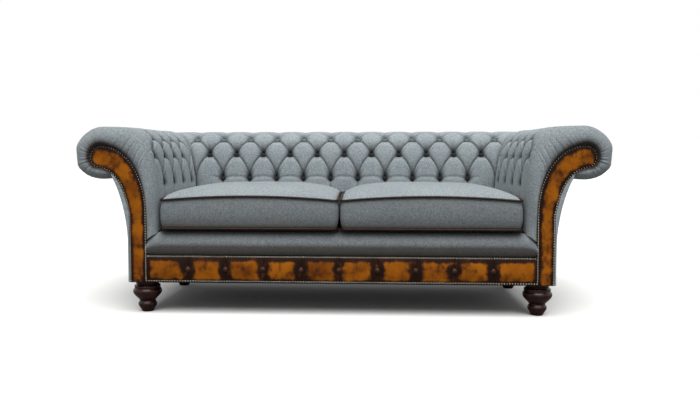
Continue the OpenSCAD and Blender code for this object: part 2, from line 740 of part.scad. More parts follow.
// A closed skin over stacked rings, with a point below the first and above the last
module stacked(rings, bottom, top) {
    n = len(rings);
    m = len(rings[0]);
    function at(i, j) = i * m + j % m;
    polyhedron(
        [for (p = concat([for (ring = rings) each ring], [bottom, top])) fitted(p)],
        concat(
            [for (i = [0:n - 2], j = [0:m - 1]) each [
                [at(i, j), at(i + 1, j), at(i + 1, j + 1)], [at(i, j), at(i + 1, j + 1), at(i, j + 1)]]],
            [for (j = [0:m - 1]) each [[n * m, at(0, j), at(0, j + 1)],
                [n * m + 1, at(n - 1, j + 1), at(n - 1, j)]]]));
}
module cushion_place() {
    translate([cushion_x, front_y + cushion_d / 2, cushion_foot]) children();
}
module cushion() {
    color("lightsteelblue") cushion_place() stacked(cushion_rings, [0, 0, 0], [0, 0, crown_z]);
}
// Leather piping round one seam: a six-sided tube along the edge of the cover
pipe_sides = 6;
module pipe_loop(edge, line, heights) {
    n = len(edge);
    function at(i, j) = (i % n) * pipe_sides + j % pipe_sides;
    polyhedron(
        [for (i = [0:n - 1], j = [0:pipe_sides - 1])
            let (q = polar(piping_r, 180 + 360 * j / pipe_sides),
                 p = line[i] + q.x * (line[i] - edge[i]) / (piping_r + clear))
            fitted([p.x, p.y, heights[i] + q.y])],
        [for (i = [0:n - 1], j = [0:pipe_sides - 1]) each [
            [at(i, j), at(i + 1, j), at(i + 1, j + 1)], [at(i, j), at(i + 1, j + 1), at(i, j + 1)]]]);
}
module cushion_piping() {
    color(edge_hide) cushion_place() {
        pipe_loop(plan(0, 1, 1), plan(piping_r + clear, 1, 1), [for (p = plan(0, 1, 1)) seam_rise]);
        pipe_loop(plan(0), plan(piping_r + clear), [for (p = plan(0)) seam_z(p)]);
    }
}

// Turned feet, in heights counted from the floor
foot_top_r = 50;
module foot_profile() {
    bulb_r = foot_h * 0.19;
    low_r = foot_h * 0.1;
    waist = foot_low_r - 7;
    bulb_z = foot_h * 0.69;
    low_z = foot_h * 0.24;
    square([foot_tip_r, low_z]);
    polygon([[0, 0], [foot_tip_r, 0], [foot_low_r - 5, low_z - low_r * 0.75],
             [foot_low_r - low_r, low_z], [0, low_z]]);
    translate([foot_low_r - low_r, low_z]) circle(low_r);
    square([waist, bulb_z]);
    polygon([[0, low_z + low_r], [waist, low_z + low_r], [waist + 1, low_z + low_r + 4],
             [foot_r - bulb_r * 0.28, bulb_z - bulb_r * 0.7], [foot_r - bulb_r, bulb_z], [0, bulb_z]]);
    translate([foot_r - bulb_r, bulb_z]) circle(bulb_r);
    translate([0, bulb_z]) square([foot_top_r - 6, foot_h - bulb_z]);
    translate([0, foot_h - 11]) square([foot_top_r - 5, 11]);
    translate([foot_top_r - 5, foot_h - 5]) circle(5);
    translate([0, foot_h - 5]) square([foot_top_r - 0.01, 5]);
}
screw_deep = 60;
screw_up = 70;
module foot(side, rear) {
    color([0.2, 0.08, 0.06]) from_front()
        translate([side * (base_hw - foot_in), rear ? base_d - foot_rear : foot_front, 0])
            difference() {
                rotate_extrude() intersection() {
                    foot_profile();
                    square([foot_r, foot_h]);
                }
                translate([0, 0, foot_h - screw_deep]) cylinder(h = screw_deep + 1, r = screw_r + clear);
            }
}
module foot_screws() {
    color("silver") screw_places() translate([0, 0, foot_h - screw_deep + clear])
        cylinder(h = screw_deep + screw_up, r = screw_r);
}

front_rail();
back_rail();
seat_stretchers();
corner_blocks();
back_posts();
back_tack_rail();
back_shoulder_rail();
back_top_rail();
back_struts();
seat_webbing_long();
seat_webbing_cross();
back_webbing();
seat_platform();
front_lip();
leather_border();
inside_back();
outside_back();
dust_cover();
border_buttons();
back_buttons();
foot_screws();
left_side() side_rail();  // left_side_rail
side_rail();  // right_side_rail
left_side() arm_board();  // left_arm_board
arm_board();  // right_arm_board
left_side() arm_post();  // left_arm_post
arm_post();  // right_arm_post
left_side() corner_post();  // left_corner_post
corner_post();  // right_corner_post
left_side() arm_tack_rail();  // left_arm_tack_rail
arm_tack_rail();  // right_arm_tack_rail
left_side() arm_shoulder_rail();  // left_arm_shoulder_rail
arm_shoulder_rail();  // right_arm_shoulder_rail
left_side() arm_top_rail();  // left_arm_top_rail
arm_top_rail();  // right_arm_top_rail
left_side() arm_strut();  // left_arm_strut
arm_strut();  // right_arm_strut
left_side() arm_webbing();  // left_arm_webbing
arm_webbing();  // right_arm_webbing
left_side() inside_arm();  // left_inside_arm
inside_arm();  // right_inside_arm
left_side() outside_arm();  // left_outside_arm
outside_arm();  // right_outside_arm
left_side() arm_facing();  // left_arm_facing
arm_facing();  // right_arm_facing
left_side() arm_buttons();  // left_arm_buttons
arm_buttons();  // right_arm_buttons
left_side() cushion();  // left_cushion
cushion();  // right_cushion
left_side() cushion_piping();  // left_cushion_piping
cushion_piping();  // right_cushion_piping
foot(-1, false);  // front_left_foot
foot(1, false);  // front_right_foot
foot(-1, true);  // rear_left_foot
foot(1, true);  // rear_right_foot
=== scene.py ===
# %% [markdown]
# # A buttoned scroll-arm sofa
# This notebook dresses the bare model of a three-seater sofa: the deep-buttoned back and arms, the antiqued
# leather with its rows of nails, two loose cushions and four turned feet. The bare model gives every place
# and size. Each piece is built in metres where it stands, so nothing has to be fitted afterwards.

import json
import math

import bmesh
import bpy
import numpy as np
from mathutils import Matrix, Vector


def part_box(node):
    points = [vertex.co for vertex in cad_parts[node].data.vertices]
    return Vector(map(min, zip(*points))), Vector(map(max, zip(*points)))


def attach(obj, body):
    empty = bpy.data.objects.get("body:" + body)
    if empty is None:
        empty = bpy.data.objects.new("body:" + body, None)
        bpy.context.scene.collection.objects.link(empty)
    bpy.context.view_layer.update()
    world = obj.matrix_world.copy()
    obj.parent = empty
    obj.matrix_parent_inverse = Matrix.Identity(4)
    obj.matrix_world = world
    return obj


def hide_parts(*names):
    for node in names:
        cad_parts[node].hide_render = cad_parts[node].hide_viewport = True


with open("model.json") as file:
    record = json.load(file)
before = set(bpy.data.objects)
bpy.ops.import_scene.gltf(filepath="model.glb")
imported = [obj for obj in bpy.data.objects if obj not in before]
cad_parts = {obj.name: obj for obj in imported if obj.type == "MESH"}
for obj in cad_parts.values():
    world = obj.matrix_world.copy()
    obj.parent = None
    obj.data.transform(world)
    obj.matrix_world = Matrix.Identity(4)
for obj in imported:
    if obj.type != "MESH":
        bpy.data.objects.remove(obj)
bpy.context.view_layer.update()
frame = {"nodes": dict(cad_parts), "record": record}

# %% [markdown]
# ## Driving sizes
# The arms and the back share one cross-section. It is drawn with s running outwards from the inner face and
# z up. Most sizes are read from the bare model's own boxes, and the few that a box can't show are named
# here: the arm's thickness at its foot, the radius of the roll, the height where the lean starts, how far
# in the crest starts, and how far the arm swells inwards at the rear.

# %% Sizes of the sofa
SOFA = "sofa_frame"
CLEAR = 0.0003
DECK_GAP = 0.003
facing_low, facing_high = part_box("right_arm_facing")
border_low, border_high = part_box("leather_border")
lip_low, lip_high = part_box("front_lip")
FRONT_Y = facing_low.y
INNER_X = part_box("seat_platform")[1].x + DECK_GAP
ROLL_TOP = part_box("inside_back")[1].z
SECTION_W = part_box("right_inside_arm")[1].x - INNER_X
SEAT_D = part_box("inside_back")[1].y - SECTION_W - FRONT_Y
PAD_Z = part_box("right_inside_arm")[0].z
BASE_Z = border_low.z
FACING_T = facing_high.y - facing_low.y
ARM_T = 0.126
ROLL_R = 0.110
LEAN_Z = 0.445
CREST_IN = 0.132
ARM_SWELL = 0.030
print("seat depth", round(SEAT_D, 3), "half width inside", round(INNER_X, 3), "top", round(ROLL_TOP, 3))

# %% [markdown]
# ## Small helpers
# Most pieces here are grids of points that follow a formula, because a sewn or stretched surface is smooth
# one way and repeats the other way. These helpers turn such points into a mesh, and keep a number on each
# point that a material can read, such as how worn the leather is there.

# %% Turn points into pieces
def grid_faces(rows, columns, closed=False):
    """Four-sided faces of a grid of points that are numbered row by row."""
    last = columns if closed else columns - 1
    i, j = np.meshgrid(np.arange(rows - 1), np.arange(last), indexing="ij")
    k = (j + 1) % columns
    this, above = i * columns, (i + 1) * columns
    quads = np.stack([this + j, above + j, above + k, this + k], axis=-1)
    return quads.reshape(-1, 4).tolist()


def make_piece(name, points, faces, body=SOFA):
    """Makes a mesh object from points in metres and lets it ride on a body of the bare model."""
    mesh = bpy.data.meshes.new(name)
    mesh.from_pydata([tuple(p) for p in np.asarray(points, float)], [], faces)
    mesh.validate()
    mesh.polygons.foreach_set("use_smooth", [True] * len(mesh.polygons))
    piece = bpy.data.objects.new(name, mesh)
    bpy.context.scene.collection.objects.link(piece)
    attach(piece, body)
    return piece


def keep_number(piece, name, values):
    """Stores one number per point under a name that a material's Attribute node can read."""
    layer = piece.data.attributes.new(name, "FLOAT", "POINT")
    layer.data.foreach_set("value", np.asarray(values, np.float32).ravel())


def outward(piece):
    """Turns the faces of a closed piece outwards."""
    work = bmesh.new()
    work.from_mesh(piece.data)
    bmesh.ops.recalc_face_normals(work, faces=work.faces)
    work.to_mesh(piece.data)
    work.free()


def smooth_step(x, low, high):
    """0 below low, 1 above high, and a smooth ramp between them."""
    t = np.clip((np.asarray(x, float) - low) / (high - low), 0, 1)
    return t * t * (3 - 2 * t)


def mix(a, b, t):
    return a + (b - a) * t


print("a grid of 3 by 4 points has", len(grid_faces(3, 4)), "faces")

# %% [markdown]
# ## Materials
# Every finish is a small node tree. A helper adds nodes by name and links them, so that each material below
# reads as a short recipe: what varies the colour, what makes the bump, and how shiny it is. A wave texture
# of scale 1 turns through 20 radians in a metre, which gives the scale for a yarn of a wanted width.

# %% Node helpers
WAVE_RADIANS = 20
WAVE_DISTORTION = 0.6


class Recipe:
    """A material's node tree with short ways to add nodes."""

    def __init__(self, name, roughness=0.8, metallic=0.0):
        self.material = bpy.data.materials.new(name)
        self.material.use_nodes = True
        self.tree = self.material.node_tree
        self.shader = self.tree.nodes["Principled BSDF"]
        self.shader.inputs["Roughness"].default_value = roughness
        self.shader.inputs["Metallic"].default_value = metallic
        self.place = self.tree.nodes.new("ShaderNodeTexCoord").outputs["Object"]

    def height(self):
        node = self.tree.nodes.new("ShaderNodeSeparateXYZ")
        self.link(self.place, node, "Vector")
        return node.outputs["Z"]

    def link(self, output, node, socket):
        self.tree.links.new(output, node.inputs[socket])

    def noise(self, scale, detail=3.0, roughness=0.5, stretch=None):
        node = self.tree.nodes.new("ShaderNodeTexNoise")
        node.inputs["Scale"].default_value = scale
        node.inputs["Detail"].default_value = detail
        node.inputs["Roughness"].default_value = roughness
        self.link(self.stretched(stretch) if stretch else self.place, node, "Vector")
        return node.outputs["Fac"]

    def stretched(self, scale, turn=(0, 0, 0)):
        node = self.tree.nodes.new("ShaderNodeMapping")
        node.inputs["Scale"].default_value = scale
        node.inputs["Rotation"].default_value = turn
        self.link(self.place, node, "Vector")
        return node.outputs["Vector"]

    def wave(self, period, turn):
        node = self.tree.nodes.new("ShaderNodeTexWave")
        node.inputs["Scale"].default_value = 2 * math.pi / WAVE_RADIANS / period
        node.inputs["Distortion"].default_value = WAVE_DISTORTION
        node.inputs["Detail"].default_value = 1.0
        self.link(self.stretched((1, 1, 1), turn), node, "Vector")
        return node.outputs["Fac"]

    def number(self, name):
        node = self.tree.nodes.new("ShaderNodeAttribute")
        node.attribute_name = name
        return node.outputs["Fac"]

    def math(self, operation, a, b):
        node = self.tree.nodes.new("ShaderNodeMath")
        node.operation = operation
        for socket, value in enumerate((a, b)):
            if isinstance(value, (int, float)):
                node.inputs[socket].default_value = value
            else:
                self.tree.links.new(value, node.inputs[socket])
        return node.outputs[0]

    def ramp(self, factor, stops):
        """A colour ramp from (place, colour) stops."""
        node = self.tree.nodes.new("ShaderNodeValToRGB")
        while len(node.color_ramp.elements) < len(stops):
            node.color_ramp.elements.new(0.5)
        for element, (place, colour) in zip(node.color_ramp.elements, stops):
            element.position = place
            element.color = (*colour, 1)
        self.link(factor, node, "Fac")
        return node.outputs["Color"]

    def blend(self, a, b, factor, kind="MIX"):
        node = self.tree.nodes.new("ShaderNodeMix")
        node.data_type = "RGBA"
        node.blend_type = kind
        for socket, value in (("A", a), ("B", b)):
            target = [s for s in node.inputs if s.name == socket and s.type == "RGBA"][0]
            if isinstance(value, tuple):
                target.default_value = (*value, 1)
            else:
                self.tree.links.new(value, target)
        target = [s for s in node.inputs if s.name == "Factor" and s.type == "VALUE"][0]
        if isinstance(factor, (int, float)):
            target.default_value = factor
        else:
            self.tree.links.new(factor, target)
        return [s for s in node.outputs if s.type == "RGBA"][0]

    def bump(self, height, distance, strength=1.0):
        node = self.tree.nodes.new("ShaderNodeBump")
        node.inputs["Distance"].default_value = distance
        node.inputs["Strength"].default_value = strength
        self.link(height, node, "Height")
        self.link(node.outputs["Normal"], self.shader, "Normal")

    def colour(self, output):
        self.link(output, self.shader, "Base Color")


def wear(piece, material):
    piece.data.materials.clear()
    piece.data.materials.append(material)


print("a wave texture of scale 1 repeats every", round(2 * math.pi / WAVE_RADIANS, 3), "m")

# %% [markdown]
# ### Blue-grey woven fabric
# The cover is a plain weave of slate blue and pale grey yarns. From a step away it reads as a fine speckle,
# so a small noise picks the yarn colour and crossed waves give the weave its bump. Two numbers kept on the
# points darken it, and both are painted shade. Shade marks the pleats, the pits and what faces away from
# the light. The second number gives the painted shade a brown cast where the cloth lies near the leather: a
# little of it is light brown, a painted reflection of the leather, and a lot, as under the nails, nearly
# black.

# %% Fabric
YARN_DARK = (0.122, 0.140, 0.158)
YARN_MID = (0.243, 0.276, 0.296)
YARN_PALE = (0.414, 0.459, 0.475)
PIT_BLACK = (0.012, 0.011, 0.011)
# light brown is a painted reflection of the leather, deep brown is painted shade
LEATHER_REFLECTION = (0.082, 0.050, 0.032)
DEEP_BROWN_SHADE = (0.026, 0.013, 0.007)
MOST_COVERED = 0.95
TOP_ROW_Z = 0.70
YARN_PERIOD = 0.0016
BIAS = math.radians(45)


def weave_height(cloth, speckle):
    """Crossed yarns for the bump, with the speckle added so that no two yarns are quite alike."""
    across = cloth.wave(YARN_PERIOD, (0, 0, BIAS))
    along = cloth.wave(YARN_PERIOD, (math.radians(90), BIAS, 0))
    return cloth.math("ADD", cloth.math("MULTIPLY", cloth.math("ADD", across, along), 0.3), speckle)


def woven_cover(name, tint=(1.0, 1.0, 1.0), shaded_below=None):
    """The cover fabric, tinted; below the last argument's height it gets full painted shade, for deep
    buttons.
    """
    cloth = Recipe(name, roughness=0.92)
    speckle = cloth.noise(420, 2.0, 0.7)
    mottle = cloth.noise(150, 3.0, 0.6)
    yarn = cloth.math("ADD", cloth.math("MULTIPLY", speckle, 0.68), cloth.math("MULTIPLY", mottle, 0.32))
    colour = cloth.ramp(yarn, [(0.34, YARN_DARK), (0.50, YARN_MID), (0.67, YARN_PALE)])
    broad = cloth.ramp(cloth.noise(4.0, 2.0, 0.5), [(0.3, (0.95, 0.96, 0.97)), (0.7, (1.04, 1.04, 1.03))])
    colour = cloth.blend(colour, broad, 1.0, "MULTIPLY")
    colour = cloth.blend(colour, tint, 1.0, "MULTIPLY")
    # painted shade with a brown cast near the leather
    brown_shade = cloth.number("brown_shade")
    brown_cast = cloth.ramp(brown_shade, [(0.60, LEATHER_REFLECTION), (0.90, DEEP_BROWN_SHADE)])
    colour = cloth.blend(colour, brown_cast, cloth.math("MULTIPLY", brown_shade, MOST_COVERED))
    # painted shade in the folds and pits and where the cloth faces away from the light
    shade = cloth.number("shade")
    # painted shade: everything lower than this height is painted nearly black, for buttons deep in their
    # pits
    if shaded_below:
        shade = cloth.math("LESS_THAN", cloth.height(), shaded_below)
    cloth.colour(cloth.blend(colour, PIT_BLACK, cloth.math("MULTIPLY", shade, MOST_COVERED)))
    cloth.bump(weave_height(cloth, speckle), 0.0006, 0.6)
    cloth.shader.inputs["Sheen Weight"].default_value = 0.10
    cloth.shader.inputs["Sheen Roughness"].default_value = 0.45
    cloth.shader.inputs["Specular IOR Level"].default_value = 0.10
    return cloth.material


fabric = woven_cover("blue_grey_weave")
# a darker copy of the cover: painted shade for the buttons
shaded_button_cloth = woven_cover("shaded_button_cloth", (0.46, 0.47, 0.48), TOP_ROW_Z)
lining = woven_cover("deck_lining", (0.45, 0.45, 0.46))
print("fabric finishes made")

# %% [markdown]
# ### Antiqued leather
# The hide is dyed dark, then rubbed back by hand so that the raised parts come up tan and the edges and the
# hollows stay nearly black. The number called rub says how far a point was rubbed. Two noises make the
# border of the rubbed part wander, as a hand leaves it, and a third one varies the tan from orange to gold.
# Dark, brown and tan are laid over one another with soft limits, so that no hard line shows between them.

# %% Leathers
HIDE_DARK = (0.0125, 0.0052, 0.0030)
HIDE_BROWN = (0.050, 0.0158, 0.0049)
HIDE_ORANGE = (0.145, 0.038, 0.0026)
HIDE_GOLD = (0.305, 0.0935, 0.0040)
BLOTCH_STRENGTH = 2.5
BLACK, WHITE = (0, 0, 0), (1, 1, 1)


def antique_hide(name):
    hide = Recipe(name, roughness=0.44)
    blotch = hide.math("SUBTRACT", hide.noise(24, 3.0, 0.58), 0.5)
    blotch = hide.math("MULTIPLY", blotch, BLOTCH_STRENGTH)
    streak = hide.math("SUBTRACT", hide.noise(75, 3.0, 0.6, (1.0, 1.0, 0.4)), 0.5)
    rub = hide.math("ADD", hide.number("rub"), hide.math("ADD", blotch, streak))
    browned = hide.ramp(rub, [(0.10, BLACK), (0.55, WHITE)])
    cleared = hide.ramp(rub, [(0.42, BLACK), (1.06, WHITE)])
    tan = hide.ramp(hide.noise(12, 3.0, 0.55), [(0.36, HIDE_ORANGE), (0.64, HIDE_GOLD)])
    hide.colour(hide.blend(hide.blend(HIDE_DARK, HIDE_BROWN, browned), tan, cleared))
    pores = hide.math("MULTIPLY", hide.noise(900, 2.0, 0.5), 0.5)
    grain = hide.math("ADD", pores, hide.noise(160, 3.0, 0.5))
    hide.bump(grain, 0.0005, 0.5)
    hide.shader.inputs["Specular IOR Level"].default_value = 0.08
    return hide.material


def dark_hide(name, deep, worn):
    hide = Recipe(name, roughness=0.5)
    hide.colour(hide.ramp(hide.noise(45, 3.0, 0.6), [(0.35, deep), (0.7, worn)]))
    hide.bump(hide.noise(700, 2.0, 0.5), 0.0004, 0.5)
    hide.shader.inputs["Specular IOR Level"].default_value = 0.15
    return hide.material


leather = antique_hide("antiqued_leather")
piping_hide = dark_hide("dark_piping_leather", (0.012, 0.0055, 0.0038), (0.032, 0.013, 0.0075))
stud_hide = dark_hide("button_leather", (0.028, 0.010, 0.006), (0.062, 0.021, 0.012))
print("leather finishes made")

# %% [markdown]
# ### Nails, wood and hidden cloths
# The nails are aged brass. Each crown carries a painted highlight, and each rim is nearly black, partly
# dark patina and partly painted dark reflection, so each head reads as a separate dot: the number called
# crown is 1 on top of a head and 0 round its rim. The feet are stained so dark that the grain only just
# shows under the lacquer. The frame, webbing and underlining are hardly seen, but each is a real material
# too.

# %% Metal, wood and webbing
BRASS_DULL = (0.44, 0.385, 0.30)
BRASS_BRIGHT = (0.86, 0.79, 0.67)
DARK_RIM = (0.006, 0.004, 0.003)
STAIN_DARK = (0.008, 0.0020, 0.0014)
STAIN_RED = (0.038, 0.0090, 0.0055)
BEECH_DARK = (0.40, 0.24, 0.12)
BEECH_PALE = (0.60, 0.42, 0.25)
STEEL_DULL = (0.42, 0.42, 0.42)
STEEL_BRIGHT = (0.62, 0.62, 0.60)


def aged_brass():
    brass = Recipe("aged_brass", roughness=0.34, metallic=0.8)
    aged = brass.ramp(brass.noise(260, 2.0, 0.5), [(0.35, BRASS_DULL), (0.65, BRASS_BRIGHT)])
    # painted highlight on each crown, over a rim that is partly patina and partly painted dark reflection
    lit = brass.ramp(brass.number("crown"), [(0.62, BLACK), (1.0, WHITE)])
    brass.colour(brass.blend(DARK_RIM, aged, lit))
    return brass.material


def stained_wood():
    wood = Recipe("mahogany_stain", roughness=0.26)
    grain = wood.noise(55, 4.0, 0.65, (1.0, 1.0, 0.12))
    wood.colour(wood.ramp(grain, [(0.30, STAIN_DARK), (0.72, STAIN_RED)]))
    wood.bump(grain, 0.0003, 0.2)
    wood.shader.inputs["Specular IOR Level"].default_value = 0.20
    wood.shader.inputs["Coat Weight"].default_value = 0.10
    wood.shader.inputs["Coat Roughness"].default_value = 0.15
    return wood.material


def bare_wood():
    wood = Recipe("bare_beech", roughness=0.65)
    grain = wood.noise(30, 4.0, 0.6, (0.15, 1.0, 1.0))
    wood.colour(wood.ramp(grain, [(0.3, BEECH_DARK), (0.7, BEECH_PALE)]))
    wood.bump(grain, 0.0004, 0.4)
    return wood.material


def plain_weave(name, dark, pale, period):
    cloth = Recipe(name, roughness=0.95)
    across = cloth.wave(period, (0, 0, 0))
    along = cloth.wave(period, (0, 0, math.radians(90)))
    weave = cloth.math("MULTIPLY", cloth.math("ADD", across, along), 0.5)
    cloth.colour(cloth.ramp(weave, [(0.25, dark), (0.75, pale)]))
    cloth.bump(weave, 0.0006, 0.6)
    return cloth.material


def plated_steel():
    steel = Recipe("plated_steel", roughness=0.35, metallic=1.0)
    steel.colour(steel.ramp(steel.noise(120, 2.0, 0.5), [(0.3, STEEL_DULL), (0.7, STEEL_BRIGHT)]))
    return steel.material


brass = aged_brass()
mahogany = stained_wood()
beech = bare_wood()
jute = plain_weave("jute_webbing", (0.26, 0.18, 0.09), (0.46, 0.36, 0.21), 0.004)
black_cloth = plain_weave("black_underlining", (0.006, 0.006, 0.006), (0.022, 0.022, 0.022), 0.002)
screw_steel = plated_steel()
print("metal, wood and webbing finishes made")

# %% [markdown]
# ## The shared cross-section
# Seen from the front, the arm rises straight from the seat, leans outwards, goes level over the crest and
# turns round a full roll that tucks in against the outside panel. The roll swells a little below its
# middle, is drawn in above it, and its outer side is pulled flat at a slight slant. One line of points
# follows that section, with a row number along it: the buttoned rows are at 0, 1 and 2. A curve swept along
# the sofa would give the same shape, but not the row numbers that place the puffs.

# %% Section line
TUCK_DEGREES = -116
TUCK_ANGLE = math.radians(TUCK_DEGREES)
ROLL_S = SECTION_W - ROLL_R
ROLL_Z = ROLL_TOP - ROLL_R
SIDE_REACH = 0.108
SIDE_SLANT = math.radians(3.5)
SIDE_SOFTNESS = 0.002
SWELL_AT = (TUCK_DEGREES, -82, -56, -27, 8, 30, 55, 90)
SWELL_BY = (0.0, 0.0, 0.03, 0.07, 0.03, -0.02, -0.045, 0.0)
LEAN_STIFF = 0.64
LEAN_END_S = CREST_IN / 11
LEAST_COSINE = 0.2
ROW_COUNT = 3
FIRST_ROW_AT = 2 / 12
ROW_STEP = 3 / 12
LOWEST_ROW = -1.5
CREST_ROW = 4.3
FADE_AT = (2.0, 2.9, 3.5, CREST_ROW)
FADE_TO = (1.0, 0.9, 0.55, 0.0)
SCALLOP_ROWS = (2.2, 3.2)
SCALLOP_TURN = math.radians(75)


def curve(points, t):
    """Points of a smooth curve between two ends, pulled towards the two points between them."""
    a, b, c, d = (np.asarray(p, float) for p in points)
    t = np.asarray(t, float)[:, None]
    return (1 - t) ** 3 * a + 3 * t * (1 - t) ** 2 * b + 3 * t * t * (1 - t) * c + t ** 3 * d


def lean_line(t, inset=0.0):
    """The leaning part from the seat's side to the crest, or the same line inset from it."""
    top = ROLL_TOP - inset
    rise = ROLL_TOP - LEAN_Z - inset
    controls = [(inset, LEAN_Z), (inset, LEAN_Z + LEAN_STIFF * rise), (inset / 2 + LEAN_END_S, top)]
    return curve(controls + [(CREST_IN, top)], t)


def roll_reach(angle):
    """Radius of the roll: a swelling circle, cut by the flat side and rounded where the two meet."""
    full = ROLL_R * (1 + np.interp(np.degrees(angle), SWELL_AT, SWELL_BY))
    flat = SIDE_REACH / np.maximum(np.cos(angle + SIDE_SLANT), LEAST_COSINE)
    return -SIDE_SOFTNESS * np.log(np.exp(-full / SIDE_SOFTNESS) + np.exp(-flat / SIDE_SOFTNESS))


def inward_normals(line):
    step = np.gradient(line, axis=0)
    normal = np.stack([step[:, 1], -step[:, 0]], axis=1)
    return normal / np.linalg.norm(normal, axis=1, keepdims=True)


def reach_along(line):
    return np.concatenate([[0], np.cumsum(np.linalg.norm(np.diff(line, axis=0), axis=1))])


class Section:
    """Points along the shared section, with the row number and the pleats' strength at each of them."""

    def __init__(self, low_steps, lean_steps, crest_steps, roll_steps):
        low = np.stack([np.zeros(low_steps), np.linspace(PAD_Z, LEAN_Z, low_steps, endpoint=False)], axis=1)
        t = np.linspace(0, 1, lean_steps, endpoint=False)
        crest_s = np.linspace(CREST_IN, ROLL_S, crest_steps, endpoint=False)
        crest = np.stack([crest_s, np.full(crest_steps, ROLL_TOP)], axis=1)
        angle = np.linspace(math.pi / 2, TUCK_ANGLE, roll_steps)
        reach = roll_reach(angle)
        roll = np.stack([ROLL_S + reach * np.cos(angle), ROLL_Z + reach * np.sin(angle)], axis=1)
        self.line = np.concatenate([low, lean_line(t), crest, roll])
        self.lean_start = low_steps
        self.crest_start = low_steps + lean_steps
        self.roll_start = self.crest_start + crest_steps
        self.angle = angle
        lean_row = (t - FIRST_ROW_AT) / ROW_STEP
        low_row = np.linspace(LOWEST_ROW, lean_row[0], low_steps, endpoint=False)
        crest_row = np.linspace(lean_row[-1], CREST_ROW, crest_steps)
        self.row = np.concatenate([low_row, lean_row, crest_row, np.full(roll_steps, CREST_ROW)])
        self.fade = np.interp(self.row, FADE_AT, FADE_TO)
        over_crest = smooth_step(self.row[:-roll_steps], *SCALLOP_ROWS)
        self.scallop = np.concatenate([over_crest, smooth_step(angle, 0.0, SCALLOP_TURN)])
        self.inward = inward_normals(self.line)
        self.reach = reach_along(self.line)


measured = Section(20, 200, 30, 100)
ROW_REACH = np.interp(np.arange(ROW_COUNT + 1), measured.row, measured.reach)
ROW_GAP = np.diff(ROW_REACH)
SECTION_L = measured.reach[-1]
print("section:", round(SECTION_L, 3), "m long; rows at", ROW_REACH.round(3))

# %% [markdown]
# ## Deep buttoning
# Each button is tied down through the padding, and the spare cloth between buttons is folded into pleats.
# The lower puff of every pair stands in front, so its top edge shows as a round arch, like a fish scale,
# that leaves the upper button level and drops steeply to the lower one. Cloth tied down at each button
# could be simulated, but with dozens of buttons that is slow and hard to steer. So the depth of the padding
# is worked out from how far a point lies from such an arch: inside it the puff rises quickly, like a
# quarter of a circle, and outside it the next puff comes up slowly out of the fold. Measured that way, the
# pleats stay as wide as real ones everywhere. The power in the arch's formula sets its roundness: 1 is a
# straight slope and 2 a quarter of an ellipse.

# %% Puffs between the folds
ARCH_ROUNDNESS = (1.50, 1.25, 1.50)
LEAST_LEG = 1e-3
ROUND_EDGE = 0.015
SOFT_EDGE = 0.048
UNDERCUT = 0.45
UNDERCUT_REACH = 0.020
FOLD_WIDTH = 0.0028
FAR = 1.0


def arch_gap(x, h, half_pitch, row_gap, power):
    """How far a point lies outside the arch, below 0 inside it; x and h go from 0 to 1 along its legs."""
    x = np.maximum(x, LEAST_LEG)
    h = np.maximum(h, LEAST_LEG)
    level = x ** power + h ** power - 1
    slope = power * np.hypot(x ** (power - 1) / half_pitch, h ** (power - 1) / row_gap)
    return level / slope


def quarter_round(distance, width):
    return np.sqrt(1 - (1 - np.clip(distance / width, 0, 1)) ** 2)


def puffs(u, row, half_pitch):
    """Height of the puffs from 0 in the folds to about 1, and the distance from the nearest fold."""
    band = np.clip(np.floor(row), 0, ROW_COUNT - 1)
    h = row - band
    gap = ROW_GAP[band.astype(int)]
    power = np.take(ARCH_ROUNDNESS, band.astype(int))
    x = np.abs(np.mod(u - band + 1, 2) - 1)
    off = arch_gap(x, h, half_pitch, gap, power)
    inside = off < 0
    to_button = np.where(band < ROW_COUNT - 1, np.hypot(x * half_pitch, (1 - h) * gap), FAR)
    top = np.where(inside, -off, to_button)
    low = np.where(inside, np.where(band > 0, arch_gap(1 - x, 1 + h, half_pitch, gap, power), FAR), off)
    straight = (1 - x) * half_pitch
    top = np.where(row < 0, straight, top)
    low = np.where(row < 0, FAR, low)
    rise = 0.50 * quarter_round(top, ROUND_EDGE) + 0.50 * quarter_round(top, SOFT_EDGE)
    fall = UNDERCUT * np.exp(-low / UNDERCUT_REACH) + (1 - UNDERCUT) * np.exp(-low / FOLD_WIDTH)
    return rise * (1 - fall), np.where(row < 0, straight, np.abs(off))


print("a puff rises over", 1000 * ROUND_EDGE, "to", 1000 * SOFT_EDGE, "mm from its fold")

# %% [markdown]
# ### Pits, gathers and fold lines
# A button sits in a pit that runs out upwards, and small gathers fan out above it, where the cloth is drawn
# together. The crest dips a little in line with the top buttons. The same distances also darken the cloth
# in the folds and pits, because the soft studio light alone would leave them too pale.

# %% Depth and shade of the buttoned padding
LINE_SHADE = 0.60
LINE_WIDTH = 0.0030
PIT_DEPTH = 0.020
PIT_WIDTH = 0.013
DARK_WIDTH = 0.0155
PIT_ABOVE = 0.036
PIT_BELOW = (0.012, 0.012, 0.017)
DARK_BELOW = 0.012
PIT_STRENGTH = (1.0, 1.0, 0.8)
PIT_SHADE = 1.3
PIT_STEEPNESS = 1.5
DARK_STEEPNESS = 0.75
SCALLOP_DEPTH = 0.0050
SCALLOP_WIDTH = 0.026
GATHER_DEPTH = 0.0042
GATHER_REACH = 0.050
GATHER_COUNT = 13
GATHER_SHADE = 0.80
GATHER_FROM = (0.006, 0.018)
GATHER_FAN = (0.50, 0.90)


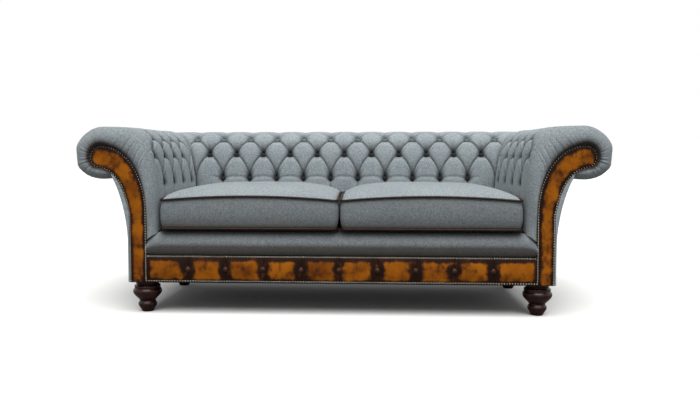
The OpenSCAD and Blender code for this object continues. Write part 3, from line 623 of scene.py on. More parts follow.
def buttoned(u, section, half_pitch, pleat, spread, live, line_width=LINE_WIDTH):
    """Depth below the padding's crown, and how dark the folds and pits look, for columns u of a section."""
    row = section.row[None, :] + 0 * u
    height, fold = puffs(u, row, half_pitch)
    strength = section.fade[None, :] * spread
    depth = pleat * strength * (1 - height)
    shade = LINE_SHADE * strength * np.exp(-(fold / line_width) ** 2)
    for k in range(ROW_COUNT):
        aside = (np.mod(u - k, 2) - 1) * half_pitch
        above = section.reach[None, :] - ROW_REACH[k]
        near = np.hypot(aside / PIT_WIDTH, above / np.where(above > 0, PIT_ABOVE, PIT_BELOW[k]))
        dark = np.hypot(aside / DARK_WIDTH, above / np.where(above > 0, PIT_ABOVE, DARK_BELOW))
        far = np.hypot(aside, above)
        turn = np.arctan2(aside, above)
        upward = smooth_step(np.cos(turn), *GATHER_FAN) * smooth_step(far, *GATHER_FROM)
        ridges = 0.5 + 0.5 * np.cos(GATHER_COUNT * turn + 2 * k)
        gather = ridges * upward * np.exp(-(far / GATHER_REACH) ** 2)
        tied = live(u, k) * PIT_STRENGTH[k]
        depth = depth + tied * (PIT_DEPTH * np.exp(-near ** PIT_STEEPNESS) + GATHER_DEPTH * gather)
        pit_dark = PIT_SHADE * np.exp(-DARK_STEEPNESS * dark ** 2)
        shade = np.maximum(shade, tied * np.maximum(pit_dark, GATHER_SHADE * gather))
    in_line = np.abs(np.mod(u - ROW_COUNT + 1, 2) - 1) * half_pitch
    dip = SCALLOP_DEPTH * np.exp(-(in_line / SCALLOP_WIDTH) ** 2)
    depth = depth + dip * section.scallop[None, :] * live(u, ROW_COUNT - 1)
    return depth, np.clip(shade, 0, 1)


print("fold lines", LINE_WIDTH * 1000, "mm, rows", ROW_GAP.round(3), "m apart")

# %% [markdown]
# ### The padding as a closed form
# Padding has thickness, so the buttoned face, a fine grid of section lines, is closed into a solid form.
# The hidden inner face needs few points, and each of the four sides between them is one face with as many
# corners as it meets.

# %% Close a buttoned face into a pad
PAD_T = 0.045
TUCK_SHARE = 0.45
INNER_STEPS = 7


def inner_face():
    """Inner face of the padding in the shared section, which the frame fits inside."""
    t = np.linspace(0, 1, INNER_STEPS)
    angle = np.linspace(math.pi / 2, TUCK_ANGLE, INNER_STEPS + 2)
    thin = np.where(angle >= 0, 1.0, mix(1.0, TUCK_SHARE, angle / TUCK_ANGLE))
    reach = ROLL_R - PAD_T * thin
    roll = np.stack([ROLL_S + reach * np.cos(angle), ROLL_Z + reach * np.sin(angle)], axis=1)
    return np.concatenate([[[PAD_T, PAD_Z]], lean_line(t, PAD_T), roll])


inner_section = inner_face()


def closed_pad(name, face, inner_start, inner_end):
    """Joins the buttoned grid, given as columns of section points, to an inner section at each end."""
    columns, rows = face.shape[:2]
    count = len(inner_start)
    points = np.concatenate([face.reshape(-1, 3), inner_start, inner_end])
    first = columns * rows
    second = first + count
    start_face = list(range(rows - 1, -1, -1)) + list(range(first, first + count))
    end_column = (columns - 1) * rows
    end_face = list(range(end_column, end_column + rows)) + list(range(second + count - 1, second - 1, -1))
    low_face = [i * rows for i in range(columns)] + [second, first]
    tuck_face = [i * rows + rows - 1 for i in range(columns - 1, -1, -1)] + [second - 1, second + count - 1]
    inner = [[first + i, second + i, second + i + 1, first + i + 1] for i in range(count - 1)]
    faces = grid_faces(columns, rows) + [start_face, end_face, low_face, tuck_face] + inner
    pad = make_piece(name, points, faces)
    outward(pad)
    return pad


def keep_on_face(pad, name, values):
    """Keeps a number on the outer grid of a pad, and 0 on its hidden inner points."""
    hidden = np.zeros(2 * len(inner_section))
    keep_number(pad, name, np.concatenate([np.ravel(values), hidden]))


print("the hidden inner face has", len(inner_section), "points on each side")

# %% [markdown]
# ## The buttoned back
# There are twelve buttons in the top row, eleven in the middle and ten in the bottom row. Columns of the
# grid are about 3 mm apart between the arms, and the last columns reach out to the mitre where the back
# meets each arm. A shallow level fold joins the buttons of the bottom row, just above the cushions.

# %% Back padding
BACK_BUTTONS = 12
BACK_END = 0.011
BACK_PLEAT = 0.018
GRID_STEP = 0.0031
MITRE_GAP = 0.00015
CORNER_COLUMNS = 18
CORNER_START = 0.030
CORNER_GROOVE = 0.016
CORNER_SHADE = 0.3
CORNER_DARK_FROM = 0.84
CORNER_POWER = 4
BUTTONS_END = (0.5, 0.9)
PLEATS_END = (-0.4, 0.8)
SEAT_FOLD = 0.0035
SEAT_FOLD_WIDTH = 0.007
SEAT_FOLD_SAG = 0.016
SEAT_FOLD_DROP = 0.004
back_half_pitch = (INNER_X - BACK_END) / (BACK_BUTTONS - 1)
back_section = Section(10, 118, 22, 36)


def back_live(u, row):
    """1 where the back has a button in this row, and 0 in its corners."""
    last = BACK_BUTTONS - ROW_COUNT + row
    return 1 - smooth_step(np.abs(u), last + BUTTONS_END[0], last + BUTTONS_END[1])


def back_columns(section):
    """X of each column at each section point, and how near the column is to the mitre."""
    core_end = INNER_X - CORNER_START
    core = np.linspace(-core_end, core_end, int(2 * core_end / GRID_STEP))
    mitre = INNER_X + section.line[:, 0] - MITRE_GAP
    near = (np.arange(1, CORNER_COLUMNS + 1) / CORNER_COLUMNS)[:, None]
    side = mix(core_end, mitre[None, :], near)
    x = np.concatenate([-side[::-1], np.repeat(core[:, None], len(section.line), axis=1), side])
    return x, np.concatenate([near[::-1], np.zeros((len(core), 1)), near])


def seat_level_fold(u, reach):
    """The shallow level fold between the buttons of the bottom row."""
    middle = np.abs(np.mod(u, 2) - 1)
    fold = ROW_REACH[0] + SEAT_FOLD_SAG * (1 - (1 - middle) ** 2) - SEAT_FOLD_DROP
    return SEAT_FOLD * np.exp(-((reach - fold) / SEAT_FOLD_WIDTH) ** 2)


def corner_shade(near, section):
    """The dark line down a mitre, from how near a column is to it."""
    return CORNER_SHADE * smooth_step(near, CORNER_DARK_FROM, 1.0) * section.fade[None, :]


def back_face(section):
    x, near = back_columns(section)
    u = x / back_half_pitch
    spread = 1 - smooth_step(np.abs(u), BACK_BUTTONS + PLEATS_END[0], BACK_BUTTONS + PLEATS_END[1])
    depth, shade = buttoned(u, section, back_half_pitch, BACK_PLEAT, spread, back_live)
    depth = depth + seat_level_fold(u, section.reach[None, :]) * back_live(u, 0)
    groove = CORNER_GROOVE * section.fade[None, :]
    depth = mix(depth, groove, near ** CORNER_POWER)
    s = section.line[None, :, 0] + depth * section.inward[None, :, 0]
    z = section.line[None, :, 1] + depth * section.inward[None, :, 1]
    x = np.where(near >= 1, np.sign(x) * (INNER_X + s - MITRE_GAP), x)
    return np.stack([x, FRONT_Y + SEAT_D + s, z], axis=-1), np.maximum(shade, corner_shade(near, section))


def back_inner(side):
    return np.stack([side * (INNER_X + inner_section[:, 0] - MITRE_GAP),
                     FRONT_Y + SEAT_D + inner_section[:, 0], inner_section[:, 1]], axis=1)


def make_back():
    face, shade = back_face(back_section)
    back = closed_pad("buttoned_back", face, back_inner(-1), back_inner(1))
    keep_on_face(back, "shade", shade)
    wear(back, fabric)
    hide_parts("inside_back")
    print("back:", len(back.data.polygons), "faces, button pitch", round(2 * back_half_pitch, 4))


make_back()

# %% [markdown]
# ## The leather facing's outline
# The facing is J-shaped: it goes straight up from the base, leans out with the arm and ends in a round
# scroll. The arm's fabric is pulled round the front edge and nailed under it, so its outline is needed for
# both.

# %% Facing outline
FACING_IN = 0.006
FACING_W = 0.072
SCROLL_R = 0.048
SCROLL = np.array([ROLL_S - 0.12 * SCROLL_R, ROLL_Z - 0.38 * SCROLL_R])
SCROLL_START, SCROLL_END = 88, -58
CURVE_STEPS = 60
FACING_OUT_S = ARM_T - FACING_IN
FACING_INN_S = FACING_OUT_S - FACING_W
NECK_Z = mix(BASE_Z, SCROLL[1], 0.55)


def polar(radius, degrees):
    angle = np.radians(degrees)
    return np.stack([radius * np.cos(angle), radius * np.sin(angle)], axis=-1)


def facing_inner_line(t):
    """The inner edge from the neck to the top of the scroll."""
    lower = (FACING_INN_S - FACING_W / 20, mix(NECK_Z, SCROLL[1], 0.45))
    upper = (FACING_INN_S + FACING_W * 0.66, SCROLL[1] + SCROLL_R * 0.88)
    return curve([(FACING_INN_S, NECK_Z), lower, upper, SCROLL + (0, SCROLL_R)], t)


def facing_outer_line(t):
    """The outer edge from below the scroll down to the neck."""
    upper = SCROLL + (-1.45 * SCROLL_R, -1.05 * SCROLL_R)
    lower = (FACING_OUT_S + 0.28 * FACING_W, mix(NECK_Z, SCROLL[1], 0.42))
    return curve([SCROLL + polar(SCROLL_R, SCROLL_END - 2), upper, lower, (FACING_OUT_S, NECK_Z)], t)


def resample(line, count=None, spacing=None):
    """Points at even spacing along an open line."""
    line = np.asarray(line, float)
    reach = reach_along(line)
    if count is None:
        count = int(round(reach[-1] / spacing)) + 1
    at = np.linspace(0, reach[-1], count)
    return np.stack([np.interp(at, reach, line[:, k]) for k in range(line.shape[1])], axis=1)


t = np.linspace(0, 1, CURVE_STEPS)
facing_rise = np.concatenate([[[FACING_INN_S, BASE_Z]], facing_inner_line(t)])
facing_scroll = SCROLL + polar(SCROLL_R, np.linspace(SCROLL_START, SCROLL_END, 50))
facing_fall = np.concatenate([facing_outer_line(t), [[FACING_OUT_S, BASE_Z]]])
facing_outline = np.concatenate([facing_rise, facing_scroll, facing_fall])
print("facing outline", round(float(reach_along(facing_outline)[-1]), 3), "m")

# %% [markdown]
# ## The roll's ends
# The fabric roll in front of the cushions runs into the arms. Its ends sweep down, and the arm's fabric
# comes down to meet them, so both need the same line.

# %% Ends of the front roll
LIP_END = 0.080
LIP_DROP = 0.058


def lip_drop(x):
    """How far the top of the front roll has come down at x, near its ends."""
    along = np.clip((lip_high.x - np.abs(x)) / LIP_END, 0, 1)
    return LIP_DROP * (1 - np.sqrt(1 - (1 - along) ** 2))


print("the roll drops", round(float(lip_drop(INNER_X)) * 1000, 1), "mm at the arm")

# %% [markdown]
# ## The buttoned arms
# Each arm has three rows of four buttons, and the padding thickens to the rear, where the arm meets the
# back. At the front the fabric turns over a padded edge and is gathered towards the facing, so folds fan
# out from the scroll, and beside the nails the cloth gets dark brown painted shade. Two short pleats and a
# long faint one run forward from the first buttons. The left arm mirrors the right one.

# %% Arm padding
ARM_FIRST = 0.055
ARM_LAST = 0.096
ARM_BUTTONS = 4
ARM_PLEAT = 0.024
ARM_LINE_SHADE = 1.35
ARM_LINE_WIDTH = 0.0050
LAST_COLUMN = 0.547
arm_half_pitch = (SEAT_D - ARM_LAST - ARM_FIRST) / (2 * ARM_BUTTONS - 1)
EDGE_DEPTH = 0.028
FRONT_SWELL = 0.011
FRONT_SWELL_OVER = 0.15
RING_LIP = 7
RING_TURN = 14
LIP_SHARE = 0.3
LIP_TUCK = 0.0065
arm_section = Section(22, 124, 26, 118)
print("arm button pitch", round(2 * arm_half_pitch, 4), "m")

# %% [markdown]
# ### Cloth pulled to the facing
# Every point of the arm's front edge is pulled to its own point of the facing's edge. A few pairs that
# belong together are named, up the lean and round the scroll, and all others lie in step between them.
# Rings of points then run from the facing's edge, under its leather, out and round the padded edge.

# %% From the facing's edge to the arm
EDGE_POINTS = 900
LEAN_KEYS = 13
TURN_AT = (90, 52, 14, -27, -56, -82, TUCK_DEGREES)
SCROLL_AT = (90, 55, 20, -15, -50)
FALL_AT = (0.10, 0.27)
UNDER_FACING = 0.003


def nearest_reach(line, reach, point):
    return reach[np.argmin(np.linalg.norm(line - point, axis=1))]


def facing_edge_points(section):
    """The point of the facing's edge that each section point is pulled to."""
    start = np.array([[FACING_INN_S, PAD_Z]])
    whole = np.concatenate([start, facing_inner_line(t), facing_scroll, facing_outer_line(t)])
    edge = resample(whole, EDGE_POINTS)
    edge_reach = reach_along(edge)
    lean = np.linspace(0, 1, LEAN_KEYS)
    lean_at = section.lean_start + (lean * (section.crest_start - section.lean_start)).astype(int)
    turn_off = np.abs(section.angle[None, :] - np.radians(TURN_AT)[:, None])
    turn_at = section.roll_start + np.argmin(turn_off, axis=1)
    pulled_to = list(facing_inner_line(lean * (LEAN_KEYS - 1) / LEAN_KEYS))
    pulled_to += [SCROLL + polar(SCROLL_R, a) for a in SCROLL_AT]
    pulled_to += list(facing_outer_line(FALL_AT))
    keys = np.concatenate([[0], section.reach[lean_at], section.reach[turn_at]])
    values = [0.0] + [nearest_reach(edge, edge_reach, p) for p in pulled_to]
    at = np.interp(section.reach, keys, values)
    picked = np.stack([np.interp(at, edge_reach, edge[:, k]) for k in (0, 1)], axis=1)
    return picked + UNDER_FACING * inward_normals(picked)


def front_rings():
    """Each ring's share of the way from the facing's edge to the section, its depth and its direction."""
    lip = np.linspace(0, 1, RING_LIP, endpoint=False)
    turn = np.linspace(0, math.pi / 2, RING_TURN)
    share = np.concatenate([LIP_SHARE * lip, LIP_SHARE + (1 - LIP_SHARE) * np.sin(turn)])
    back_by = np.concatenate([LIP_TUCK * (1 - lip) ** 2, EDGE_DEPTH * (1 - np.cos(turn))])
    forward = np.concatenate([np.ones(RING_LIP), np.cos(turn)])
    return share[:, None], back_by[:, None], forward[:, None]


print(RING_LIP + RING_TURN, "rings from the facing's edge to the arm")

# %% [markdown]
# ### Gathers and pleats at the front
# The cloth's spare length is gathered under the nails, in folds of uneven size that fan out and die away,
# with finer ones between them. A hand never spaces them evenly, so two sines shift their places and another
# one sets their sizes. The sines are fixed, so each run makes the same folds.

# %% Folds of the arm's front
FOLD_COUNT = 24
FOLD_DEPTH = 0.0050
FOLD_FROM, FOLD_TO = 0.28, 0.95
FOLD_GROWS_OVER, FOLD_DIES_OVER = 0.08, 0.05
FOLD_WANDER = ((0.20, 2.3), (0.12, 5.1))
FOLD_SHARPNESS = 0.60
FOLD_SIZE = 0.62
FOLD_REACH = 0.30
FOLD_REACH_GAIN = 0.55
FINE_PER_FOLD = 3.1
FINE_SIZE = 0.30
FINE_REACH = 0.22
FINE_SHARPNESS = 0.8
SIZE_WANDER = (12.9, 0.7)
CREASE_WIDTH = 0.0045
CREASE_FADE = 0.7
CREASE_POWER = 1.3
SHORT_PLEATS = ((0.004, 0.012, 0.030), (0.0, 0.014, -0.040))
LONG_PLEAT = (0.030, 0.075)
SHORT_STRENGTH = 0.8
LONG_STRENGTH = 0.45


def front_folds(section, share):
    """Sharpness from 0 to 1 of the folds that fan out from the nails, with the fine ones between them."""
    along = section.reach / SECTION_L
    even = (along - FOLD_FROM) / (FOLD_TO - FOLD_FROM) * FOLD_COUNT
    station = even + sum(far * np.sin(often * even) for far, often in FOLD_WANDER)
    sharp = 1 - np.abs(np.sin(math.pi * station)) ** FOLD_SHARPNESS
    size = FOLD_SIZE + (1 - FOLD_SIZE) * np.sin(SIZE_WANDER[0] * np.round(station) + SIZE_WANDER[1])
    span = smooth_step(along, FOLD_FROM, FOLD_FROM + FOLD_GROWS_OVER)
    span = span * (1 - smooth_step(along, FOLD_TO - FOLD_DIES_OVER, FOLD_TO))
    fold = sharp * size * span * np.exp(-(share / (FOLD_REACH + FOLD_REACH_GAIN * size)) ** 2)
    fine = 1 - np.abs(np.sin(math.pi * station * FINE_PER_FOLD)) ** FINE_SHARPNESS
    return fold + FINE_SIZE * fine * span * np.exp(-(share / FINE_REACH) ** 2)


def crease(v, reach, start, end):
    """A pleat along a straight run from start to end, which fades out towards its end."""
    a, b = np.array(start), np.array(end)
    span = b - a
    along = np.clip(((v - a[0]) * span[0] + (reach - a[1]) * span[1]) / span.dot(span), 0, 1)
    off = np.hypot(v - a[0] - along * span[0], reach - a[1] - along * span[1])
    return (1 - along) ** CREASE_FADE * np.exp(-(off / CREASE_WIDTH) ** CREASE_POWER)


def forward_pleats(v, reach):
    """Two short pleats from the middle row to the front, and a faint long one from the top row."""
    middle, high = ROW_REACH[1:3]
    short = 0.0
    for start, end_v, end in SHORT_PLEATS:
        pleat = crease(v, reach, (ARM_FIRST, middle + start), (end_v, middle + end))
        short = np.maximum(short, pleat)
    end_v, end = LONG_PLEAT
    long = crease(v, reach, (ARM_FIRST + arm_half_pitch, high), (end_v, high + end))
    return SHORT_STRENGTH * short + LONG_STRENGTH * long


print(FOLD_COUNT, "folds round each arm's front")

# %% [markdown]
# ### The arm's depth
# The front is stuffed round, so its padding falls away forwards, but less so on the firm roll. The pleats
# that run forward are laid over the buttoned surface. Each effect is a depth below the plain section, so
# that one can be changed without the others.

# %% Depth of the arm
SOFT_FRONT_LONG = 0.130
SOFT_FRONT_DEEP = 0.020
ROLL_FIRMNESS = 0.75
PLEAT_DEPTH = 0.007
PLEAT_SHADE = 0.75
ARM_BUTTONS_START = (-0.6, -0.3)
ARM_BUTTONS_END = (-0.4, -0.1)
ARM_PLEATS_START = (-0.30, 0.05)
ARM_PLEATS_END = (-0.7, 0.1)


def arm_live(u, row):
    """1 along the arm's buttons, and 0 before the first and beyond the last."""
    end = 2 * ARM_BUTTONS
    begun = smooth_step(u, *ARM_BUTTONS_START)
    return begun * (1 - smooth_step(u, end + ARM_BUTTONS_END[0], end + ARM_BUTTONS_END[1]))


def front_softening(section, v):
    """How far the padding falls away towards the front, less so on the roll."""
    near = 1 - np.clip(v / SOFT_FRONT_LONG, 0, 1)
    roll = 1 - ROLL_FIRMNESS * smooth_step(section.line[:, 0], 0.5 * CREST_IN, ROLL_S)
    return SOFT_FRONT_DEEP * (1 - np.sqrt(1 - near ** 2)) * roll[None, :]


def arm_depth(section, v):
    u = (v - ARM_FIRST) / arm_half_pitch
    end = 2 * ARM_BUTTONS
    begun = smooth_step(u, *ARM_PLEATS_START)
    spread = begun * (1 - smooth_step(u, end + ARM_PLEATS_END[0], end + ARM_PLEATS_END[1]))
    depth, shade = buttoned(u, section, arm_half_pitch, ARM_PLEAT, spread, arm_live, ARM_LINE_WIDTH)
    pleats = forward_pleats(v, section.reach[None, :])
    return depth + PLEAT_DEPTH * pleats, np.maximum(ARM_LINE_SHADE * shade, PLEAT_SHADE * pleats)


def swell_share(section):
    """Share of the swell: none at the seat and over the crest, and all of it where the lean starts."""
    s, z = section.line[:, 0], section.line[:, 1]
    low = (z - PAD_Z) / (LEAN_Z - PAD_Z)
    high = 1 - ((z - LEAN_Z) / (ROLL_TOP - LEAN_Z)) ** 2
    return np.where(s > CREST_IN, 0.0, np.where(z < LEAN_Z, low, high))[None, :]


print("the padding falls away by up to", 1000 * SOFT_FRONT_DEEP, "mm at the front")

# %% [markdown]
# ### The arm's padded front
# A separate roll of points could be joined to the arm afterwards, but as part of its grid the front shares
# its folds and needs no seam. Near the seat it comes down to meet the front roll. Three things darken it,
# all of them painted shade: the dark brown band beside the nails, the shade in its folds, and a thin shade
# all over it.

# %% Front of the arm
ROLL_BLEND = 0.06
ROLL_SOFTNESS = 0.004
ROLL_OVERLAP = 0.006
BEHIND_FACING = 0.002
NAIL_SHADE_AT = (0.0, 0.22, 0.42, 0.62, 0.76, 0.90, 1.0)
NAIL_SHADE_WIDTH = (0.018, 0.020, 0.027, 0.038, 0.028, 0.022, 0.018)
NAIL_SHADE_FULL = 0.30
NAIL_SHADE_MOST = 0.97
# painted shade: a thin even shade over the front, a little more on the crest
FRONT_SHADE = 0.10
CREST_SHADE = 0.07
NAIL_SIDE_SHADE = 0.34
FOLD_SHADE = 0.80
FOLD_SHADE_REACH = 0.5
SWELL_POWER = 0.8


def arm_rings(section):
    """The front of the arm: rings of points from the facing's edge over the padded edge."""
    share, back_by, forward = front_rings()
    edge = facing_edge_points(section)
    ring = mix(edge[None, :, :], section.line[None, :, :], share[..., None])
    folds = front_folds(section, share)
    early, shade = arm_depth(section, np.broadcast_to(back_by, ring.shape[:2]))
    sink = FOLD_DEPTH * folds + early * share ** 2
    turned = np.sqrt(1 - forward ** 2)
    inward_by = sink * turned + share * front_softening(section, back_by)
    s = ring[..., 0] + inward_by * section.inward[None, :, 0]
    z = ring[..., 1] + inward_by * section.inward[None, :, 1]
    near_seat = 1 - smooth_step(z, PAD_Z, PAD_Z + ROLL_BLEND)
    near_seat = near_seat * smooth_step(s, -ROLL_SOFTNESS, ROLL_SOFTNESS)
    z = z + (lip_high.z - lip_drop(INNER_X + s) - PAD_Z - ROLL_OVERLAP) * near_seat
    off = np.linalg.norm(section.line - edge, axis=1)[None, :] * share
    width = np.interp(section.reach / SECTION_L, NAIL_SHADE_AT, NAIL_SHADE_WIDTH)[None, :]
    # painted shade, dark brown, beside the nails
    nail_shade = NAIL_SHADE_MOST * (1 - smooth_step(off / width, NAIL_SHADE_FULL, 1.0))
    dark = np.maximum(shade * share ** 2, FOLD_SHADE * folds * np.exp(-share / FOLD_SHADE_REACH))
    on_crest = CREST_SHADE * smooth_step(ring[..., 0], 0.5 * CREST_IN, CREST_IN)
    dark = np.maximum(dark, FRONT_SHADE + on_crest + NAIL_SIDE_SHADE * np.exp(-off / width))
    v = np.minimum(back_by + sink * forward, np.maximum(back_by, FACING_T - BEHIND_FACING))
    grown = smooth_step(z, PAD_Z, PAD_Z + FRONT_SWELL_OVER)
    v = v - FRONT_SWELL * np.sin(math.pi * share ** SWELL_POWER) * grown
    return np.stack([s, v, z], axis=-1), dark, nail_shade


# the brown darkening beside the nails is painted shade
print("the dye reaches", 1000 * NAIL_SHADE_WIDTH[0], "to", 1000 * max(NAIL_SHADE_WIDTH), "mm from the nails")

# %% [markdown]
# ### The whole arm
# The front rings and the buttoned columns behind them make one grid. Its inner side swells towards the
# rear, and its last columns end in the mitre with the back.

# %% Both arms
FOLD_SHADE_BEHIND = 0.35
OVER_EDGE = 0.020


def swell_growth(v, corner):
    """How far the swell has grown along the arm; it dies away again towards the mitre."""
    return np.minimum(v, LAST_COLUMN) / SEAT_D * (1 - corner ** 2)


def arm_body(section):
    """The rest of the arm: columns from the padded edge back to the mitre."""
    v_core = np.arange(EDGE_DEPTH + GRID_STEP, LAST_COLUMN, GRID_STEP)
    near = np.arange(1, CORNER_COLUMNS + 1) / CORNER_COLUMNS
    v_side = mix(v_core[-1], SEAT_D + section.line[None, :, 0] - MITRE_GAP, near[:, None])
    v = np.concatenate([np.repeat(v_core[:, None], len(section.line), axis=1), v_side])
    corner = np.concatenate([np.zeros(len(v_core)), near])[:, None]
    depth, shade = arm_depth(section, v)
    over_edge = np.exp(-((v - EDGE_DEPTH) / OVER_EDGE) ** 2)
    folds = front_folds(section, np.ones((1, 1))) * over_edge
    depth = depth + FOLD_DEPTH * folds + front_softening(section, v)
    depth = mix(depth, CORNER_GROOVE * section.fade[None, :], corner ** CORNER_POWER)
    swell = ARM_SWELL * swell_share(section) * swell_growth(v, corner)
    s = section.line[None, :, 0] + depth * section.inward[None, :, 0] - swell
    z = section.line[None, :, 1] + depth * section.inward[None, :, 1]
    v = np.where(corner >= 1, SEAT_D + s - MITRE_GAP, v)
    dark = np.maximum(np.maximum(shade, corner_shade(corner, section)), FRONT_SHADE * over_edge)
    return np.stack([s, v, z], axis=-1), np.maximum(dark, FOLD_SHADE_BEHIND * folds)


def arm_place(points, side):
    """World places of points given as s, distance behind the front plane, and height."""
    return np.stack([side * (INNER_X + points[..., 0]), FRONT_Y + points[..., 1], points[..., 2]], axis=-1)


def make_arm(side, name, node):
    front, front_dark, nail_shade = arm_rings(arm_section)
    body, body_dark = arm_body(arm_section)
    face = np.concatenate([front, body])
    near_v = np.full(len(inner_section), FACING_T - CLEAR)
    near_end = np.stack([inner_section[:, 0], near_v, inner_section[:, 1]], axis=1)
    far_end = near_end.copy()
    far_end[:, 1] = SEAT_D + near_end[:, 0] - MITRE_GAP
    arm = closed_pad(name, arm_place(face, side), arm_place(near_end, side), arm_place(far_end, side))
    keep_on_face(arm, "shade", np.clip(np.concatenate([front_dark, body_dark]), 0, 1))
    keep_on_face(arm, "brown_shade", np.concatenate([nail_shade, np.zeros(body_dark.shape)]))
    wear(arm, fabric)
    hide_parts(node)
    print(name, len(arm.data.polygons), "faces")


make_arm(1, "buttoned_right_arm", "right_inside_arm")
make_arm(-1, "buttoned_left_arm", "left_inside_arm")

# %% [markdown]
# ## Leather facings
# The facing is a shaped board covered in hide over a little wadding, so it is softly domed and its edges
# turn back under the nails. An outline filled with one flat face couldn't be domed, so a grid runs up the
# J, row by row from its inner to its outer edge, and closes round the scroll.

# %% Grid of a facing
FACING_ROWS = 150
FACING_COLUMNS = 21
SCROLL_SPLIT = 15
SCROLL_STEPS = 40


def facing_grid():
    """Rows of points from the inner to the outer edge, which meet at the end of the scroll."""
    over = polar(SCROLL_R, np.linspace(SCROLL_START, SCROLL_SPLIT + 1, SCROLL_STEPS))
    under = polar(SCROLL_R, np.linspace(SCROLL_END - 4, SCROLL_SPLIT - 1, SCROLL_STEPS))
    inner = resample(np.concatenate([facing_rise, SCROLL + over]), FACING_ROWS)
    fall = facing_outer_line(t)[::-1]
    outer = resample(np.concatenate([[facing_fall[-1]], fall, SCROLL + under]), FACING_ROWS)
    share = 0.5 - 0.5 * np.cos(math.pi * np.linspace(0, 1, FACING_COLUMNS))
    return mix(inner[:, None, :], outer[:, None, :], share[None, :, None])


def edge_distance(points, outline):
    """Distance from each point to the nearest piece of an outline."""
    a, b = outline[:-1], outline[1:]
    span = b - a
    long = np.maximum((span ** 2).sum(axis=1), 1e-12)
    flat = points.reshape(-1, 2)
    along = ((flat[:, None, :] - a[None]) * span[None]).sum(axis=2) / long
    off = flat[:, None, :] - a[None] - np.clip(along, 0, 1)[..., None] * span[None]
    return np.sqrt((off ** 2).sum(axis=2)).min(axis=1).reshape(points.shape[:-1])


def side_faces(loop, columns, rear_start):
    """Faces from the front's outline back to the rear: a long end edge becomes one many-sided face."""
    faces = []
    for i in range(len(loop)):
        k = (i + 1) % len(loop)
        first, second = loop[i], loop[k]
        if abs(second - first) == columns - 1:
            step = 1 if second > first else -1
            run = list(range(first, second + step, step))
        else:
            run = [first, second]
        faces.append(run + [rear_start + k, rear_start + i])
    return faces


print("facing grid:", FACING_ROWS, "rows of", FACING_COLUMNS, "points")

# %% [markdown]
# ### Rounding and rubbing the facings
# How far each point lies from the edge sets both the dome and the rubbed colour. The hide was rubbed less
# along the inner edge, most of all on the right arm, and at the foot.

# %% Facings
EDGE_ROUND = 0.0055
EDGE_ROUND_OVER = 0.006
RUBBED = 1.10
RIM_BAND = (0.003, 0.026)
INNER_DARK = {1: 0.85, -1: 0.50}
INNER_DARK_OVER = 0.019
FOOT_DARK = 0.45
FOOT_DARK_OVER = 0.034


def make_facing(side, name, node):
    flat = facing_grid()
    rim = edge_distance(flat, facing_outline)
    v = EDGE_ROUND * np.exp(-rim / EDGE_ROUND_OVER)
    front = np.stack([side * (INNER_X + flat[..., 0]), FRONT_Y + v, flat[..., 1]], axis=-1)
    rows, columns = flat.shape[:2]
    rear = front.copy()
    rear[..., 1] = FRONT_Y + FACING_T - CLEAR
    loop = [i * columns for i in range(rows)] + [i * columns + columns - 1 for i in range(rows - 1, -1, -1)]
    points = np.concatenate([front.reshape(-1, 3), rear.reshape(-1, 3)[loop]])
    faces = grid_faces(rows, columns) + [[rows * columns + i for i in range(len(loop))]]
    faces += side_faces(loop, columns, rows * columns)
    facing = make_piece(name, points, faces)
    outward(facing)
    foot_dark = FOOT_DARK * (1 - smooth_step(flat[..., 1], BASE_Z, BASE_Z + FOOT_DARK_OVER))
    inner_dark = INNER_DARK[side] * np.exp(-edge_distance(flat, facing_rise) / INNER_DARK_OVER)
    rub = RUBBED * smooth_step(rim, *RIM_BAND) - foot_dark - inner_dark
    keep_number(facing, "rub", np.concatenate([rub.ravel(), np.zeros(len(loop))]))
    wear(facing, leather)
    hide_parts(node)
    print(name, len(facing.data.polygons), "faces")


make_facing(1, "right_leather_facing", "right_arm_facing")
make_facing(-1, "left_leather_facing", "left_arm_facing")

# %% [markdown]
# ## The buttoned leather border
# A strip of hide is padded, nailed along its top and bottom and tied down by nine leather buttons. Each
# button draws a pleat straight up and straight down, and the hollows round it stay dark, so the border
# reads as a row of tan pillows. It could be sculpted by hand, but a formula of the distance to the nearest
# button keeps all of them alike.

# %% Leather border
STUD_PITCH = 0.156
BORDER_EDGE_V = 0.007
BORDER_SWELL = 0.010
BORDER_STEP = 0.003
BORDER_ROWS = 38
STUD_HALF = 4
FULLNESS = 0.55
STUD_LINE_SWELL = 0.35
PILLOW_ROUND = 0.034
STUD_PLEAT_DEPTH = 0.0028
STUD_PLEAT_WIDTH = 0.0035
STUD_PLEAT_POWER = 1.4
LAST_LINE = (0.4, 0.5)
STUD_PLEAT_FROM = (0.006, 0.016)
BORDER_RUBBED = 1.08
TOP_BAND, LOW_BAND, END_BAND = (0.010, 0.030), (0.006, 0.023), (0.004, 0.024)
HOLLOW_BAND = (0.011, 0.041)
HOLLOW_NARROWS = 0.004
HOLLOW_RUB = 0.06
LEAST_RUB = -0.04
border_end = min(border_high.x, INNER_X + FACING_INN_S - CLEAR)


def stud_line(x):
    """Distance from the nearest button's upright line; there is none beyond the last button."""
    line = np.abs(np.mod(x / STUD_PITCH + 0.5, 1) - 0.5) * STUD_PITCH
    last, gone = ((STUD_HALF + more) * STUD_PITCH for more in LAST_LINE)
    beyond = smooth_step(np.abs(x), last, gone)
    return mix(line, 1.0, beyond)


def border_front(x, z):
    """Distance of the border's face behind the front plane."""
    w = np.clip((z - border_low.z) / (border_high.z - border_low.z), 0, 1)
    line = stud_line(x)
    crown = np.sin(math.pi * w) ** FULLNESS
    pillow = STUD_LINE_SWELL + (1 - STUD_LINE_SWELL) * np.clip(line / PILLOW_ROUND, 0, 1) ** FULLNESS
    from_stud = np.hypot(line, z - 0.5 * (border_low.z + border_high.z))
    pleat = STUD_PLEAT_DEPTH * np.exp(-(line / STUD_PLEAT_WIDTH) ** STUD_PLEAT_POWER)
    pleat = pleat * smooth_step(from_stud, *STUD_PLEAT_FROM)
    return BORDER_EDGE_V - BORDER_SWELL * crown * pillow + pleat * crown


